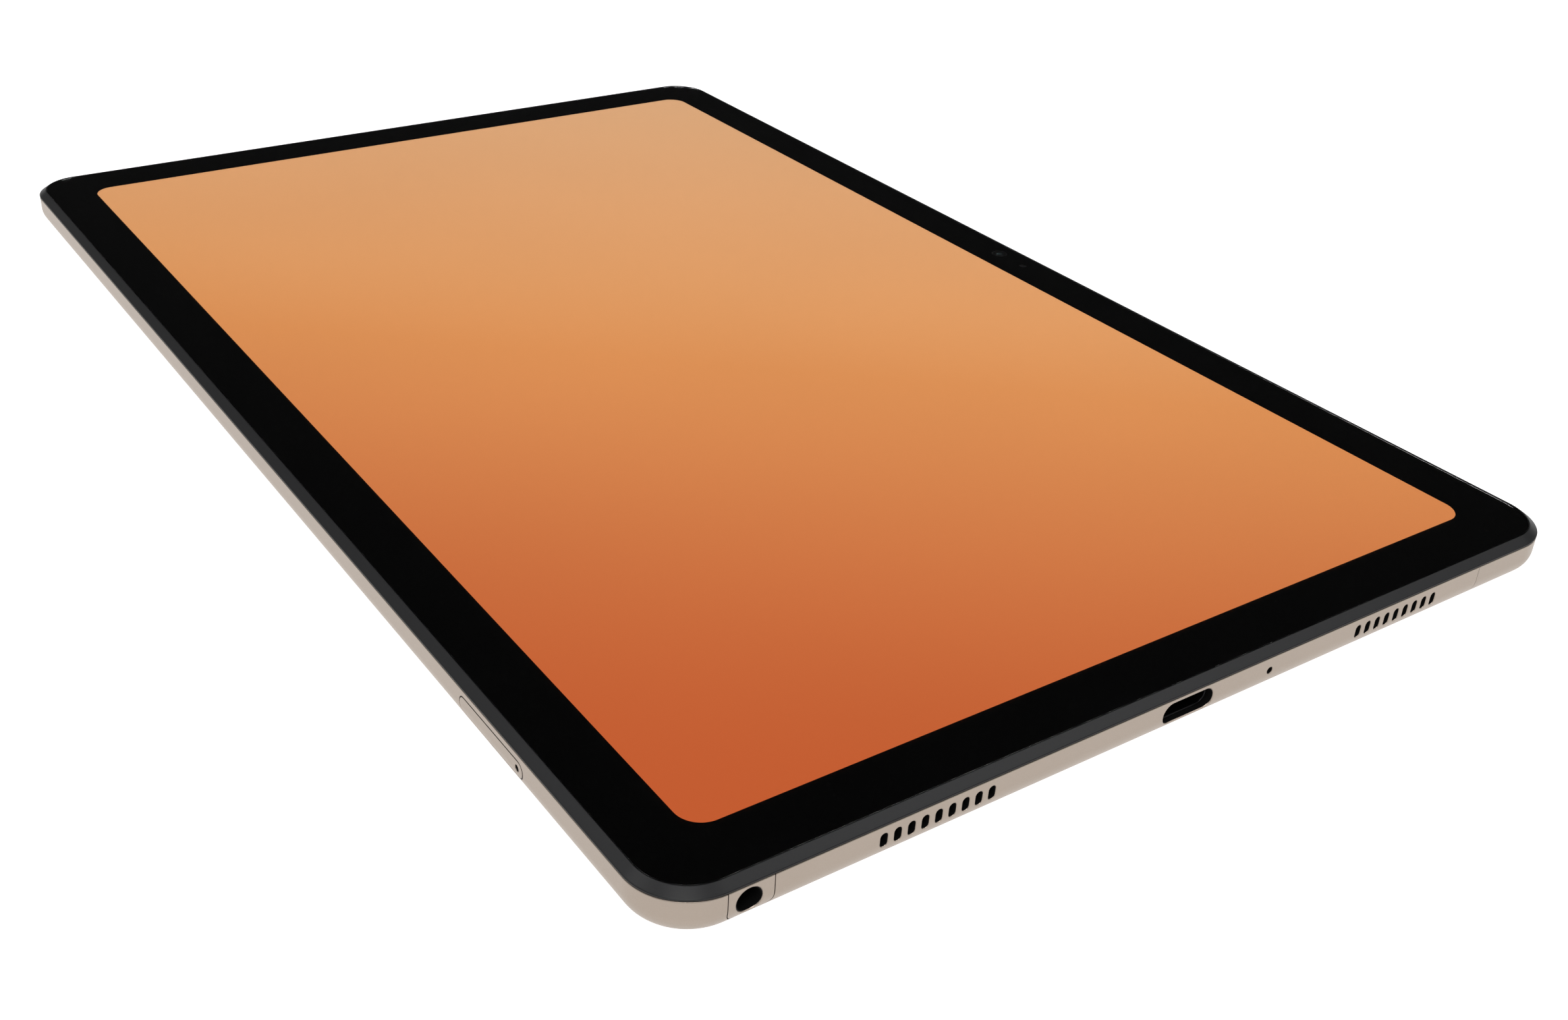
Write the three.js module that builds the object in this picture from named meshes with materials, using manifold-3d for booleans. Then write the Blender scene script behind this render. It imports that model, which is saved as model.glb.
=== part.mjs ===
// A ten-inch tablet computer, lying on its back with the screen up.
// Millimetres, +Z up. X runs along the long side, +X is the edge with the charging port, and +Y is the
// edge with the buttons and the front camera. The origin is the middle of the back's flat outer face.
//
// It is built as it comes apart: an aluminium rear housing, a plastic rim that carries the cover glass and
// the screen, a middle plate screwed to the housing's bosses, and under it the battery, boards, speakers,
// cameras, ports, buttons and memory card tray.
import * as THREE from "three";
import { mergeVertices } from "three/addons/utils/BufferGeometryUtils.js";
import Module from "manifold-3d";

const wasm = await Module();
wasm.setup();

// ---------------------------------------------------------------- driving dimensions
// The closed body
const BODY_LENGTH = 247.6;
const BODY_WIDTH = 157.4;
const BODY_THICKNESS = 7.0;
const CORNER_R = 8.4; // in plan
const EDGE_R = 3.5; // the back's rounded edge
const CORNER_STEPS = 5; // straight pieces in a quarter of a plan corner
const EDGE_STEPS = 4; // and in the rounded edge

// The rear housing
const WALL = 2.0;
const FLOOR = 0.9;
const INNER_EDGE_R = 3.1;
const STEP_INSET = 1.15; // the rim's skirt sits in a step in the wall's top
const STEP_DEPTH = 0.5;
const BOSS_R = 2.2;
const PILOT_R = 0.7;

// The rim
const CHAMFER_INSET = 1.3;
const CHAMFER_DROP = 1.08;
const RIM_LAND = 0.08; // flat between the chamfer and the glass
const SEAM = 0.12; // the gasket's height between rim and housing
const GASKET_INSET = 0.35;
const LEDGE_INSET = 7.2; // the rim's ledge under the glass reaches this far in
const LEDGE = 0.65;
const SKIRT_GAP = 0.1;

// The screen, from the top down
const GLASS = 0.55;
const GLASS_GAP = 0.05;
const INK = 0.1; // the black border
const ADHESIVE = 0.12;
const TAPE = { inset: 0.5, width: 3.45, cameraGapLeft: 6, cameraGapRight: 4 };
const LCD = 0.42;
const LIGHT_GUIDE = 0.38;
const BACKLIGHT_TRAY = 0.12;
const BORDER = { ends: 10.0, sides: 9.75 }; // from the body's outside to what lights up
const VIEW_CORNER_R = 3.6;
const LCD_BORDER = 1.8; // the panel is larger than what lights up by this, all round
const LCD_CORNER_R = 2.0;
const MID_PLATE = 0.4;
const MID_PLATE_OVERHANG = 0.1; // past the panel

// Seats and clearances
const SEAT_GAP = 0.05; // under a thin piece that is taped down
const FIT_GAP = 0.1; // around a fixed piece in its hole
const SLIDE_GAP = 0.15; // around a piece that moves

// The edge openings
const PORT_Z = 3.58; // height of the charging port and the jack
const GRILLE_Z = 3.7; // height of the speaker slots and the microphone
const USB_SHELL = { width: 8.94, height: 3.16, length: 8.0, wall: 0.3, recess: 1.2, gap: 0.05 };
const USB_TONGUE = { width: 6.69, thickness: 0.7, base: 1.8, recess: 0.8 };
const JACK_FROM_SIDE = 11.2; // the jack's axis from the -Y side
const JACK_BORE_R = 1.75;
const JACK_BODY = { length: 10.0, side: 1.25, bottom: 1.2, fromFillet: 0.3, blind: 1.0 };
const JACK_NOSE = { length: 1.8, wall: 0.35 };
const JACK_INSERT = { side: 1.25, offset: 0.2, bottom: 1.3, cornerR: 1.5, gap: 0.12, behind: 0.9 };
const CORNER_COVER = { lengthAlongX: 19.8, lengthAlongY: 19.4, past: 0.5, gap: 0.06 };
const SLOT = { count: 9, pitch: 2.015, width: 1.1, height: 2.05 };
const MIC = { y: 15.2, holeR: 0.53 };

// Speakers
const SPEAKER = { fromCorner: 16.6, fromBoard: 0.6, depth: 11.6 };
const SPEAKER_NOSE = { margin: 0.4, depth: 2.3, bottom: 2.35, duct: 0.9 };
const SPEAKER_MESH = { margin: 0.8, thickness: 0.4, height: 2.1, gap: 0.12 };
const NOTCH = 0.8; // round the ports that reach up through the middle plate
const PLATE_GAP = 0.1; // between the tall inner pieces and the middle plate

// Card tray and its reader
const TRAY = { fromEnd: 40.1, z: 3.65, faceHeight: 2.25, faceDepth: 1.5, gap: 0.12 };
const CARD = { width: 11.1, length: 15.2, depth: 0.75, window: 8.0 };
const TRAY_BODY = { left: 1.2, right: 3.4, rail: 0.55, cross: 0.5, thickness: 1.2 };
const PIN_HOLE = { r: 0.43, inset: 1.4 };
const READER = { left: 0.1, right: 1.7, front: 0.8, back: 5.3, bottom: 2.2, baseInset: 1.0 };
const PLUNGER = { width: 1.1, height: 1.0, front: 1.1, gap: 0.15, travel: 1.2 };
const LEVER = { back: 2.6, width: 1.0, height: 0.8, reachLeft: 7.4, reachRight: 5.3, restGap: 0.25 };
const PIVOT = { r: 0.5, hub: 0.6, ends: 0.5, fromPin: 4.5 };
const LEVER_POCKET = { left: 0.3, right: 1.0, wall: 0.5 };

// Buttons
const KEY_Z = 3.85;
const KEY = { height: 2.0, proud: 0.35, flangeHeight: 2.2, flangeExtra: 0.6, flangeBack: 0.6, flange: 0.9 };
const POWER = { fromEnd: 31.8, length: 11 };
const VOLUME = { fromEnd: 57.8, length: 23, nubOffset: 7.5 };
const DOME = { r: 1.6, height: 0.6, gap: 0.3 };
const NUB = { width: 1.6, height: 1.2 };
const BUTTON_FLEX = 0.15;
const BRACKET = { thickness: 0.4, foot: 3.0, footHeight: 0.3, end: 2.5 };
const RIB = { width: 0.6, gap: 0.1 };

// Cameras and light sensor
const REAR_CAM = { fromEdge: 13.2, size: 9.0, boreR: 2.95, bottomGap: 0.1, roof: 0.5 };
const REAR_BARREL = { r: 2.75, length: 2.3, rest: 0.75, boreR: 1.6, boreDepth: 0.5 };
const REAR_RING = { outerR: 4.4, innerR: 3.4, height: 0.6 };
const REAR_GLASS = { r: 3.35, recess: 0.2, thickness: 0.4 };
const FRONT_CAM = { x: 0, fromWall: 2.8, length: 6.0, width: 5.0, height: 2.9, lensR: 1.6, lensTop: 0.1 };
const LIGHT_SENSOR = { x: 7.1, length: 2.6, width: 1.6, height: 1.1 };

// Battery and boards
const CELL = { above: 0.78, cornerR: 2.0, gap: 1.0 }; // above is the room that a cell has to swell
const BATTERY = { left: 21.8, right: 28.8, front: 23.7 }; // room to the inner walls
const PROTECTION = { left: 35.5, length: 90, width: 4.2, thickness: 2.2, gap: 0.3 };
const PROTECTION_LEAD = { x: 54.5, width: 6, length: 5 };
const MAIN_BOARD = { left: 37.8, right: 61.8, back: 7.7, width: 26, thickness: 0.8, height: 2.0, gap: 5.0 };
const STANDOFF_R = 1.8;
const SHIELD = { wall: 0.2, height: 1.6, margin: 3.0 };
const SHIELDS = {
  processor_shield: { fromLeft: 24, length: 32 },
  power_shield: { fromLeft: 94, length: 24 },
  wireless_shield: { fromLeft: 120, length: 20 },
};
const CHIP = { length: 14, width: 13, height: 1.1 };
const CONNECTOR = 0.45;
const DISPLAY_PLUG = { fromLeft: 66, fromBack: 7, length: 22, width: 4.5, ribbonInset: 1 };
const LINK_PLUG = { fromRight: 6, fromFront: 6, length: 8, width: 6 };
const USB_PLUG = { fromLeft: 3.2, length: 4, width: 8 };
const LINK_RUN = { fromBattery: 1.5, width: 5 };
const FLEX = 0.15;
const USB_BOARD = { length: 19.0, width: 42.5, thickness: 0.8, bottom: 1.2, fromWall: 2.6, offsetY: 0.25 };
const MIC_CAN = { depth: 2.8, width: 3.0, height: 2.1, above: 1.1, gap: 0.35 };
const ANTENNA = { gap: 0.3, width: 1.5, bottom: 4.1, height: 0.8, reach: 26, fromSeam: 4, fromJack: 0.6 };

// Screws
const SCREW = { headR: 1.4, head: 0.45, shankR: 0.6, length: 2.5 };
const SCREW_ROOM = { ends: 17.8, sides: 10.2, tray: 4, boardLeft: 8, boardRight: 6 };
const FOOT = { height: 0.4, floor: 0.3, r: 2.4, boreR: 1.5, holeR: 0.75 };

// ---------------------------------------------------------------- heights and half sizes
const HALF_X = BODY_LENGTH / 2;
const HALF_Y = BODY_WIDTH / 2;
const glassBottom = BODY_THICKNESS - GLASS;
const inkBottom = glassBottom - INK;
const ledgeTop = inkBottom - ADHESIVE;
const ledgeBottom = ledgeTop - LEDGE;
const lcdBottom = inkBottom - LCD;
const guideBottom = lcdBottom - LIGHT_GUIDE;
const midTop = guideBottom - BACKLIGHT_TRAY;
const midBottom = midTop - MID_PLATE;
const rimBottom = BODY_THICKNESS - CHAMFER_DROP;
const housingTop = rimBottom - SEAM;
const stepZ = housingTop - STEP_DEPTH;
const pocketInset = CHAMFER_INSET + RIM_LAND;
const innerX = HALF_X - WALL; // the housing's inner wall faces
const innerY = HALF_Y - WALL;
const bossTop = midBottom - FOOT.height;
const FUSE = 0.1; // pieces of one solid run into each other by this
const innerTop = midBottom - PLATE_GAP; // the tall inner pieces end here
const boardTop = MAIN_BOARD.height + MAIN_BOARD.thickness;
const usbBoardTop = USB_BOARD.bottom + USB_BOARD.thickness;
const viewLength = BODY_LENGTH - 2 * BORDER.ends;
const viewWidth = BODY_WIDTH - 2 * BORDER.sides;
const lcdLength = viewLength + 2 * LCD_BORDER;
const lcdWidth = viewWidth + 2 * LCD_BORDER;
const jackY = -(HALF_Y - JACK_FROM_SIDE);
const jackWidth = 2 * (JACK_BORE_R + JACK_BODY.side);
const trayBodyWidth = CARD.width + 2 * TRAY_BODY.rail;
const trayBodyLength = CARD.length + 2 * TRAY_BODY.cross;
const trayX = HALF_X - TRAY.fromEnd;
const trayFaceLength = TRAY_BODY.left + trayBodyWidth + TRAY_BODY.right;
const speakerOuterEnd = innerY - SPEAKER.fromCorner;
const speakerInnerEnd = USB_BOARD.offsetY + USB_BOARD.width / 2 + SPEAKER.fromBoard;
const speakerLength = speakerOuterEnd - speakerInnerEnd;
const speakerY = (speakerOuterEnd + speakerInnerEnd) / 2;
const slotRow = (SLOT.count - 1) * SLOT.pitch + SLOT.width;
const meshLength = slotRow + 2 * SPEAKER_MESH.margin;
const noseLength = meshLength + 2 * SPEAKER_NOSE.margin;
const power = { x: -(HALF_X - POWER.fromEnd), length: POWER.length };
const volume = { x: -(HALF_X - VOLUME.fromEnd), length: VOLUME.length };
const frontCamY = innerY - FRONT_CAM.fromWall;

// ---------------------------------------------------------------- solids
// A closed three.js geometry as a manifold-3d solid, and back again.
function solidOf(geometry) {
  const bare = geometry.index ? geometry.toNonIndexed() : geometry.clone();
  bare.deleteAttribute("normal");
  bare.deleteAttribute("uv");
  const merged = mergeVertices(bare, 1e-4);
  return new wasm.Manifold(
    new wasm.Mesh({
      numProp: 3,
      vertProperties: merged.attributes.position.array,
      triVerts: new Uint32Array(merged.index.array),
    }),
  );
}

function geometryOf(solid) {
  const made = solid.getMesh();
  const flat = new THREE.BufferGeometry()
    .setAttribute("position", new THREE.BufferAttribute(made.vertProperties, 3))
    .setIndex(new THREE.BufferAttribute(made.triVerts, 1))
    .toNonIndexed();
  flat.computeVertexNormals();
  return flat;
}

const join = (first, ...rest) => rest.reduce((a, b) => a.add(b), first);
const cut = (first, ...rest) => rest.reduce((a, b) => a.subtract(b), first);

function block(x0, x1, y0, y1, z0, z1) {
  const box = new THREE.BoxGeometry(x1 - x0, y1 - y0, z1 - z0);
  return solidOf(box.translate((x0 + x1) / 2, (y0 + y1) / 2, (z0 + z1) / 2));
}

// A rounded rectangle, a pill or a circle as a THREE.Shape.
function roundedRect(width, height, r, cx = 0, cy = 0) {
  const shape = new THREE.Shape();
  const dx = width / 2 - r;
  const dy = height / 2 - r;
  shape.absarc(cx + dx, cy + dy, r, 0, Math.PI / 2);
  shape.absarc(cx - dx, cy + dy, r, Math.PI / 2, Math.PI);
  shape.absarc(cx - dx, cy - dy, r, Math.PI, 1.5 * Math.PI);
  shape.absarc(cx + dx, cy - dy, r, 1.5 * Math.PI, 2 * Math.PI);
  shape.closePath();
  return shape;
}

// A pill has a half circle at each end of its longer side.
function pill(width, height, cx = 0, cy = 0) {
  const shape = new THREE.Shape();
  const r = Math.min(width, height) / 2;
  const dx = width / 2 - r;
  const dy = height / 2 - r;
  const turn = width > height ? -Math.PI / 2 : 0;
  shape.absarc(cx + dx, cy + dy, r, turn, turn + Math.PI);
  shape.absarc(cx - dx, cy - dy, r, turn + Math.PI, turn + 2 * Math.PI);
  shape.closePath();
  return shape;
}

// The body's outline in plan, taken in by an inset.
function outline(inset, leastR = 0.6) {
  const r = Math.max(CORNER_R - inset, leastR);
  return roundedRect(BODY_LENGTH - 2 * inset, BODY_WIDTH - 2 * inset, r);
}

function prism(shape, z0, z1, steps = CORNER_STEPS) {
  const made = new THREE.ExtrudeGeometry(shape, {
    depth: z1 - z0,
    bevelEnabled: false,
    curveSegments: steps,
  });
  return solidOf(made.translate(0, 0, z0));
}

// A shape drawn in (y, z) and extruded along X, or drawn in (x, z) and extruded along Y.
const ALONG_X = new THREE.Matrix4().makeBasis(
  new THREE.Vector3(0, 1, 0),
  new THREE.Vector3(0, 0, 1),
  new THREE.Vector3(1, 0, 0),
);
const ALONG_Y = new THREE.Matrix4().makeBasis(
  new THREE.Vector3(1, 0, 0),
  new THREE.Vector3(0, 0, 1),
  new THREE.Vector3(0, -1, 0),
);

function prismX(shape, x0, x1, steps = 4) {
  const made = new THREE.ExtrudeGeometry(shape, {
    depth: x1 - x0,
    bevelEnabled: false,
    curveSegments: steps,
  });
  return solidOf(made.applyMatrix4(ALONG_X).translate(x0, 0, 0));
}

function prismY(shape, y0, y1, steps = 4) {
  const made = new THREE.ExtrudeGeometry(shape, {
    depth: y1 - y0,
    bevelEnabled: false,
    curveSegments: steps,
  });
  return solidOf(made.applyMatrix4(ALONG_Y).translate(0, y1, 0));
}

function disc(x, y, r, z0, z1, steps = 12) {
  const made = new THREE.CylinderGeometry(r, r, z1 - z0, steps).rotateX(Math.PI / 2);
  return solidOf(made.translate(x, y, (z0 + z1) / 2));
}

function discX(y, z, r, x0, x1, steps = 16) {
  const made = new THREE.CylinderGeometry(r, r, x1 - x0, steps).rotateZ(Math.PI / 2);
  return solidOf(made.translate((x0 + x1) / 2, y, z));
}

function discY(x, z, r, y0, y1, steps = 16) {
  const made = new THREE.CylinderGeometry(r, r, y1 - y0, steps);
  return solidOf(made.translate(x, (y0 + y1) / 2, z));
}

// The outline extruded with a bevelled foot: a quarter ellipse of this width and height.
function footed(inset, z0, z1, width, height, steps) {
  const spare = height + 1; // the extrusion's other bevel, which is trimmed off
  const made = new THREE.ExtrudeGeometry(outline(inset), {
    depth: z1 - z0 - height + 1,
    bevelEnabled: true,
    bevelThickness: height,
    bevelSize: width,
    bevelOffset: -width,
    bevelSegments: steps,
    curveSegments: CORNER_STEPS,
  });
  const whole = solidOf(made.translate(0, 0, z0 + height));
  return cut(whole, block(-HALF_X - 1, HALF_X + 1, -HALF_Y - 1, HALF_Y + 1, z1, z1 + spare + 1));
}

// ---------------------------------------------------------------- the group and its finishes
const tablet = new THREE.Group();
tablet.name = "tablet";

function finish(color, roughness, metalness = 0) {
  return new THREE.MeshStandardMaterial({ color, roughness, metalness });
}

const FINISH = {
  aluminium: finish(0xb7a697, 0.42, 0.6),
  paintedPlastic: finish(0xb7a697, 0.5),
  rimPlastic: finish(0x3b3b3b, 0.45),
  gasket: finish(0x1a1817, 0.8),
  glass: finish(0x0a0a0a, 0.05),
  ink: finish(0x050505, 0.6),
  adhesive: finish(0x2b2b2b, 0.9),
  screen: finish(0xd98a4e, 0.3),
  sheet: finish(0xe8e8e4, 0.5),
  steel: finish(0x9c9ea0, 0.35, 1),
  plate: finish(0x6f7275, 0.45, 1),
  pouch: finish(0x1f2226, 0.5),
  board: finish(0x1c4a36, 0.55),
  chip: finish(0x161616, 0.4),
  tinned: finish(0xb9bcbe, 0.3, 1),
  flex: finish(0xa2662a, 0.5),
  blackPlastic: finish(0x121212, 0.5),
  lens: finish(0x0c0f18, 0.08),
  gold: finish(0xc9a050, 0.3, 1),
};

function add(name, solid, material) {
  const mesh = new THREE.Mesh(geometryOf(solid), material);
  mesh.name = name;
  tablet.add(mesh);
}

// ---------------------------------------------------------------- rear housing
// An aluminium tray with a rounded back edge. The plastic aerial pieces are cut from the same solid.
const outer = footed(0, 0, housingTop, EDGE_R, EDGE_R, EDGE_STEPS);
const cavity = footed(WALL, FLOOR, BODY_THICKNESS, INNER_EDGE_R, INNER_EDGE_R, EDGE_STEPS - 1);

const boardLeft = -innerX + MAIN_BOARD.left;
const boardRight = innerX - MAIN_BOARD.right;
const boardBack = innerY - MAIN_BOARD.back;
const boardFront = boardBack - MAIN_BOARD.width;
const batteryFront = -innerY + BATTERY.front;
const batteryBack = boardFront - MAIN_BOARD.gap;
const batteryLeft = -innerX + BATTERY.left;
const batteryRight = innerX - BATTERY.right;

const screwX = innerX - SCREW_ROOM.ends;
const screwY = innerY - SCREW_ROOM.sides;
const screwPlaces = [
  [boardLeft - SCREW_ROOM.boardLeft, screwY],
  [boardRight + SCREW_ROOM.boardRight, screwY],
  [screwX, screwY],
  [-screwX, -screwY],
  [0, -screwY],
  [screwX - SCREW_ROOM.tray, -screwY],
];
const STANDOFF_INSET = 4;
const standoffPlaces = [
  [boardLeft + STANDOFF_INSET, boardFront + STANDOFF_INSET],
  [(boardLeft + boardRight) / 2, boardFront + STANDOFF_INSET],
  [boardRight - STANDOFF_INSET, boardFront + STANDOFF_INSET],
  [boardLeft + STANDOFF_INSET, boardBack - STANDOFF_INSET],
  [boardRight - STANDOFF_INSET, boardBack - STANDOFF_INSET],
];

const rearCamX = -(HALF_X - REAR_CAM.fromEdge);
const rearCamY = HALF_Y - REAR_CAM.fromEdge;
const frontCamBottom = ledgeTop - FRONT_CAM.lensTop - FRONT_CAM.height;
const tools = HALF_X + 2; // past the outside, for cutting tools

function slotTools(sign, y) {
  const first = y - ((SLOT.count - 1) / 2) * SLOT.pitch;
  const x = [sign * (innerX - 1), sign * tools].sort((a, b) => a - b);
  return Array.from({ length: SLOT.count }, (_, i) =>
    prismX(pill(SLOT.width, SLOT.height, first + i * SLOT.pitch, GRILLE_Z), x[0], x[1], 3),
  );
}

function keyOpening(key) {
  const shape = pill(key.length + 2 * SLIDE_GAP, KEY.height + 2 * SLIDE_GAP, key.x, KEY_Z);
  return prismY(shape, innerY - 1, HALF_Y + 1);
}

const jackWindow = (grow) => {
  const top = BODY_THICKNESS + JACK_INSERT.cornerR * 2;
  const height = top - JACK_INSERT.bottom + grow;
  const shape = roundedRect(
    2 * (JACK_BORE_R + JACK_INSERT.side + grow),
    height,
    JACK_INSERT.cornerR + grow,
    jackY + JACK_INSERT.offset,
    top - height / 2,
  );
  const depth = WALL + INNER_EDGE_R + JACK_INSERT.behind + grow;
  return prismX(shape, HALF_X - depth, tools, 3);
};

function cornerWindow(grow) {
  const x0 = HALF_X - CORNER_COVER.lengthAlongX - grow;
  const y0 = HALF_Y - CORNER_COVER.lengthAlongY - grow;
  const region = block(x0, tools, y0, HALF_Y + 2, -1, BODY_THICKNESS);
  return cut(region, prism(outline(EDGE_R + CORNER_COVER.past + grow), -2, BODY_THICKNESS + 1));
}

function housingBody() {
  const seats = [
    ...screwPlaces.map(([x, y]) => disc(x, y, BOSS_R, FLOOR - FUSE, bossTop)),
    ...standoffPlaces.map(([x, y]) => disc(x, y, STANDOFF_R, FLOOR - FUSE, MAIN_BOARD.height, 10)),
    block(
      FRONT_CAM.x - FRONT_CAM.length / 2,
      FRONT_CAM.x + FRONT_CAM.length / 2,
      frontCamY - FRONT_CAM.width / 2,
      innerY - INNER_EDGE_R,
      FLOOR - FUSE,
      frontCamBottom,
    ),
  ];
  const shell = cut(outer, cavity, prism(outline(STEP_INSET), stepZ, BODY_THICKNESS));
  const openings = [
    ...screwPlaces.map(([x, y]) => disc(x, y, PILOT_R, bossTop - SCREW.length, bossTop + 1, 10)),
    ...[1, -1].flatMap((side) => [speakerY, -speakerY].flatMap((y) => slotTools(side, y))),
    prismX(
      pill(USB_SHELL.width + 2 * USB_SHELL.gap, USB_SHELL.height + 2 * USB_SHELL.gap, 0, PORT_Z),
      innerX - INNER_EDGE_R,
      tools,
      5,
    ),
    discX(MIC.y, GRILLE_Z, MIC.holeR, innerX - 1, tools, 12),
    prismY(
      pill(trayFaceLength + 2 * TRAY.gap, TRAY.faceHeight + 2 * TRAY.gap, trayX, TRAY.z),
      -HALF_Y - 1,
      -innerY + INNER_EDGE_R,
      5,
    ),
    keyOpening(power),
    keyOpening(volume),
    disc(rearCamX, rearCamY, REAR_RING.outerR + SEAT_GAP, -1, REAR_RING.height, 32),
    disc(rearCamX, rearCamY, REAR_RING.innerR + SEAT_GAP, -1, FLOOR + 1, 32),
  ];
  return cut(join(shell, ...seats), ...openings);
}

const housing = housingBody();
const windows = [jackWindow(JACK_INSERT.gap), cornerWindow(CORNER_COVER.gap)];
add("rear_housing", cut(housing, ...windows), FINISH.aluminium);

const jackBodyRight = innerX - INNER_EDGE_R - JACK_BODY.fromFillet;
const jackNoseRight = jackBodyRight + JACK_NOSE.length;
const jackNoseR = JACK_BORE_R + JACK_NOSE.wall;
const jackHole = join(
  discX(jackY, PORT_Z, JACK_BORE_R + SEAT_GAP, jackNoseRight - 1, tools, 24),
  discX(jackY, PORT_Z, jackNoseR + FIT_GAP, jackBodyRight - 1, jackNoseRight + FIT_GAP, 16),
);
add("jack_antenna_insert", cut(housing.intersect(jackWindow(0)), jackHole), FINISH.paintedPlastic);
add("corner_antenna_cover", housing.intersect(cornerWindow(0)), FINISH.paintedPlastic);

// ---------------------------------------------------------------- rim, gasket and glass
function rim() {
  const upsideDown = new THREE.ExtrudeGeometry(outline(0), {
    depth: CHAMFER_DROP,
    bevelEnabled: true,
    bevelThickness: CHAMFER_DROP,
    bevelSize: CHAMFER_INSET,
    bevelOffset: -CHAMFER_INSET,
    bevelSegments: 1,
    curveSegments: CORNER_STEPS,
  });
  const slab = solidOf(upsideDown.translate(0, 0, rimBottom - CHAMFER_DROP));
  const past = HALF_X + 1;
  const top = cut(slab, block(-past, past, -past, past, rimBottom - 3 * CHAMFER_DROP, rimBottom));
  const skirtOuter = outline(STEP_INSET + SKIRT_GAP);
  const ledge = prism(skirtOuter, ledgeBottom, rimBottom + FUSE);
  const skirt = cut(prism(skirtOuter, stepZ, ledgeBottom + FUSE), prism(outline(WALL), 0, ledgeBottom));
  const camera = block(
    FRONT_CAM.x - FRONT_CAM.length / 2 - FIT_GAP,
    FRONT_CAM.x + FRONT_CAM.length / 2 + FIT_GAP,
    frontCamY - FRONT_CAM.width / 2 - 1,
    frontCamY + FRONT_CAM.width / 2 + FIT_GAP,
    0,
    BODY_THICKNESS,
  );
  const sensor = block(
    LIGHT_SENSOR.x - LIGHT_SENSOR.length / 2 - FIT_GAP,
    LIGHT_SENSOR.x + LIGHT_SENSOR.length / 2 + FIT_GAP,
    frontCamY - LIGHT_SENSOR.width / 2 - FIT_GAP,
    frontCamY + LIGHT_SENSOR.width / 2 + FIT_GAP,
    0,
    BODY_THICKNESS,
  );
  return cut(
    join(top, ledge, skirt),
    prism(outline(pocketInset), ledgeTop, BODY_THICKNESS + 1),
    prism(outline(LEDGE_INSET, 1.2), 0, BODY_THICKNESS + 1),
    camera,
    sensor,
  );
}

add("front_rim", rim(), FINISH.rimPlastic);
add(
  "rim_gasket",
  cut(prism(outline(GASKET_INSET), housingTop, rimBottom), prism(outline(STEP_INSET), 0, BODY_THICKNESS)),
  FINISH.gasket,
);

const glassInset = pocketInset + GLASS_GAP;
const view = roundedRect(viewLength, viewWidth, VIEW_CORNER_R);
add("cover_glass", prism(outline(glassInset), glassBottom, BODY_THICKNESS), FINISH.glass);
add(
  "border_print",
  cut(
    prism(outline(glassInset), inkBottom, glassBottom),
    prism(view, 0, BODY_THICKNESS),
    disc(FRONT_CAM.x, frontCamY, FRONT_CAM.lensR, 0, BODY_THICKNESS),
    disc(LIGHT_SENSOR.x, frontCamY, LIGHT_SENSOR.width / 2, 0, BODY_THICKNESS, 12),
  ),
  FINISH.ink,
);
add(
  "glass_adhesive",
  cut(
    prism(outline(glassInset + TAPE.inset), ledgeTop, inkBottom),
    prism(outline(glassInset + TAPE.inset + TAPE.width), 0, BODY_THICKNESS),
    block(
      FRONT_CAM.x - TAPE.cameraGapLeft,
      LIGHT_SENSOR.x + TAPE.cameraGapRight,
      HALF_Y - LEDGE_INSET,
      HALF_Y,
      0,
      BODY_THICKNESS,
    ),
  ),
  FINISH.adhesive,
);

// ---------------------------------------------------------------- screen module and middle plate
const panel = roundedRect(lcdLength, lcdWidth, LCD_CORNER_R);
add("lcd_panel", prism(panel, lcdBottom, inkBottom, 3), FINISH.screen);
add("light_guide", prism(panel, guideBottom, lcdBottom, 3), FINISH.sheet);
add("backlight_tray", prism(panel, midTop, guideBottom, 3), FINISH.tinned);

const jackBodyInner = jackBodyRight - JACK_BODY.length;
const usbShellBack = HALF_X - USB_SHELL.recess - USB_SHELL.length;

function midPlate() {
  const halfX = lcdLength / 2 + MID_PLATE_OVERHANG;
  const halfY = lcdWidth / 2 + MID_PLATE_OVERHANG;
  const sheet = prism(roundedRect(2 * halfX, 2 * halfY, LCD_CORNER_R), midBottom, midTop, 3);
  const feet = screwPlaces.map(([x, y]) => disc(x, y, FOOT.r, bossTop, midBottom + FUSE));
  const bores = screwPlaces.map(([x, y]) => disc(x, y, FOOT.boreR, bossTop + FOOT.floor, midTop + 1));
  const holes = screwPlaces.map(([x, y]) => disc(x, y, FOOT.holeR, 0, midTop + 1, 12));
  return cut(
    join(sheet, ...feet),
    ...bores,
    ...holes,
    block(jackBodyInner - NOTCH, tools, -tools, jackY + jackWidth / 2 + NOTCH, 0, BODY_THICKNESS),
    block(
      usbShellBack - NOTCH,
      tools,
      -USB_SHELL.width / 2 - NOTCH,
      USB_SHELL.width / 2 + NOTCH,
      0,
      BODY_THICKNESS,
    ),
  );
}

add("mid_plate", midPlate(), FINISH.plate);

screwPlaces.forEach(([x, y], i) => {
  const seat = bossTop + FOOT.floor;
  const shank = disc(x, y, SCREW.shankR, bossTop - SCREW.length + 0.3, seat + FUSE, 10);
  add(`plate_screw_${i + 1}`, join(disc(x, y, SCREW.headR, seat, seat + SCREW.head), shank), FINISH.steel);
});

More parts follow.
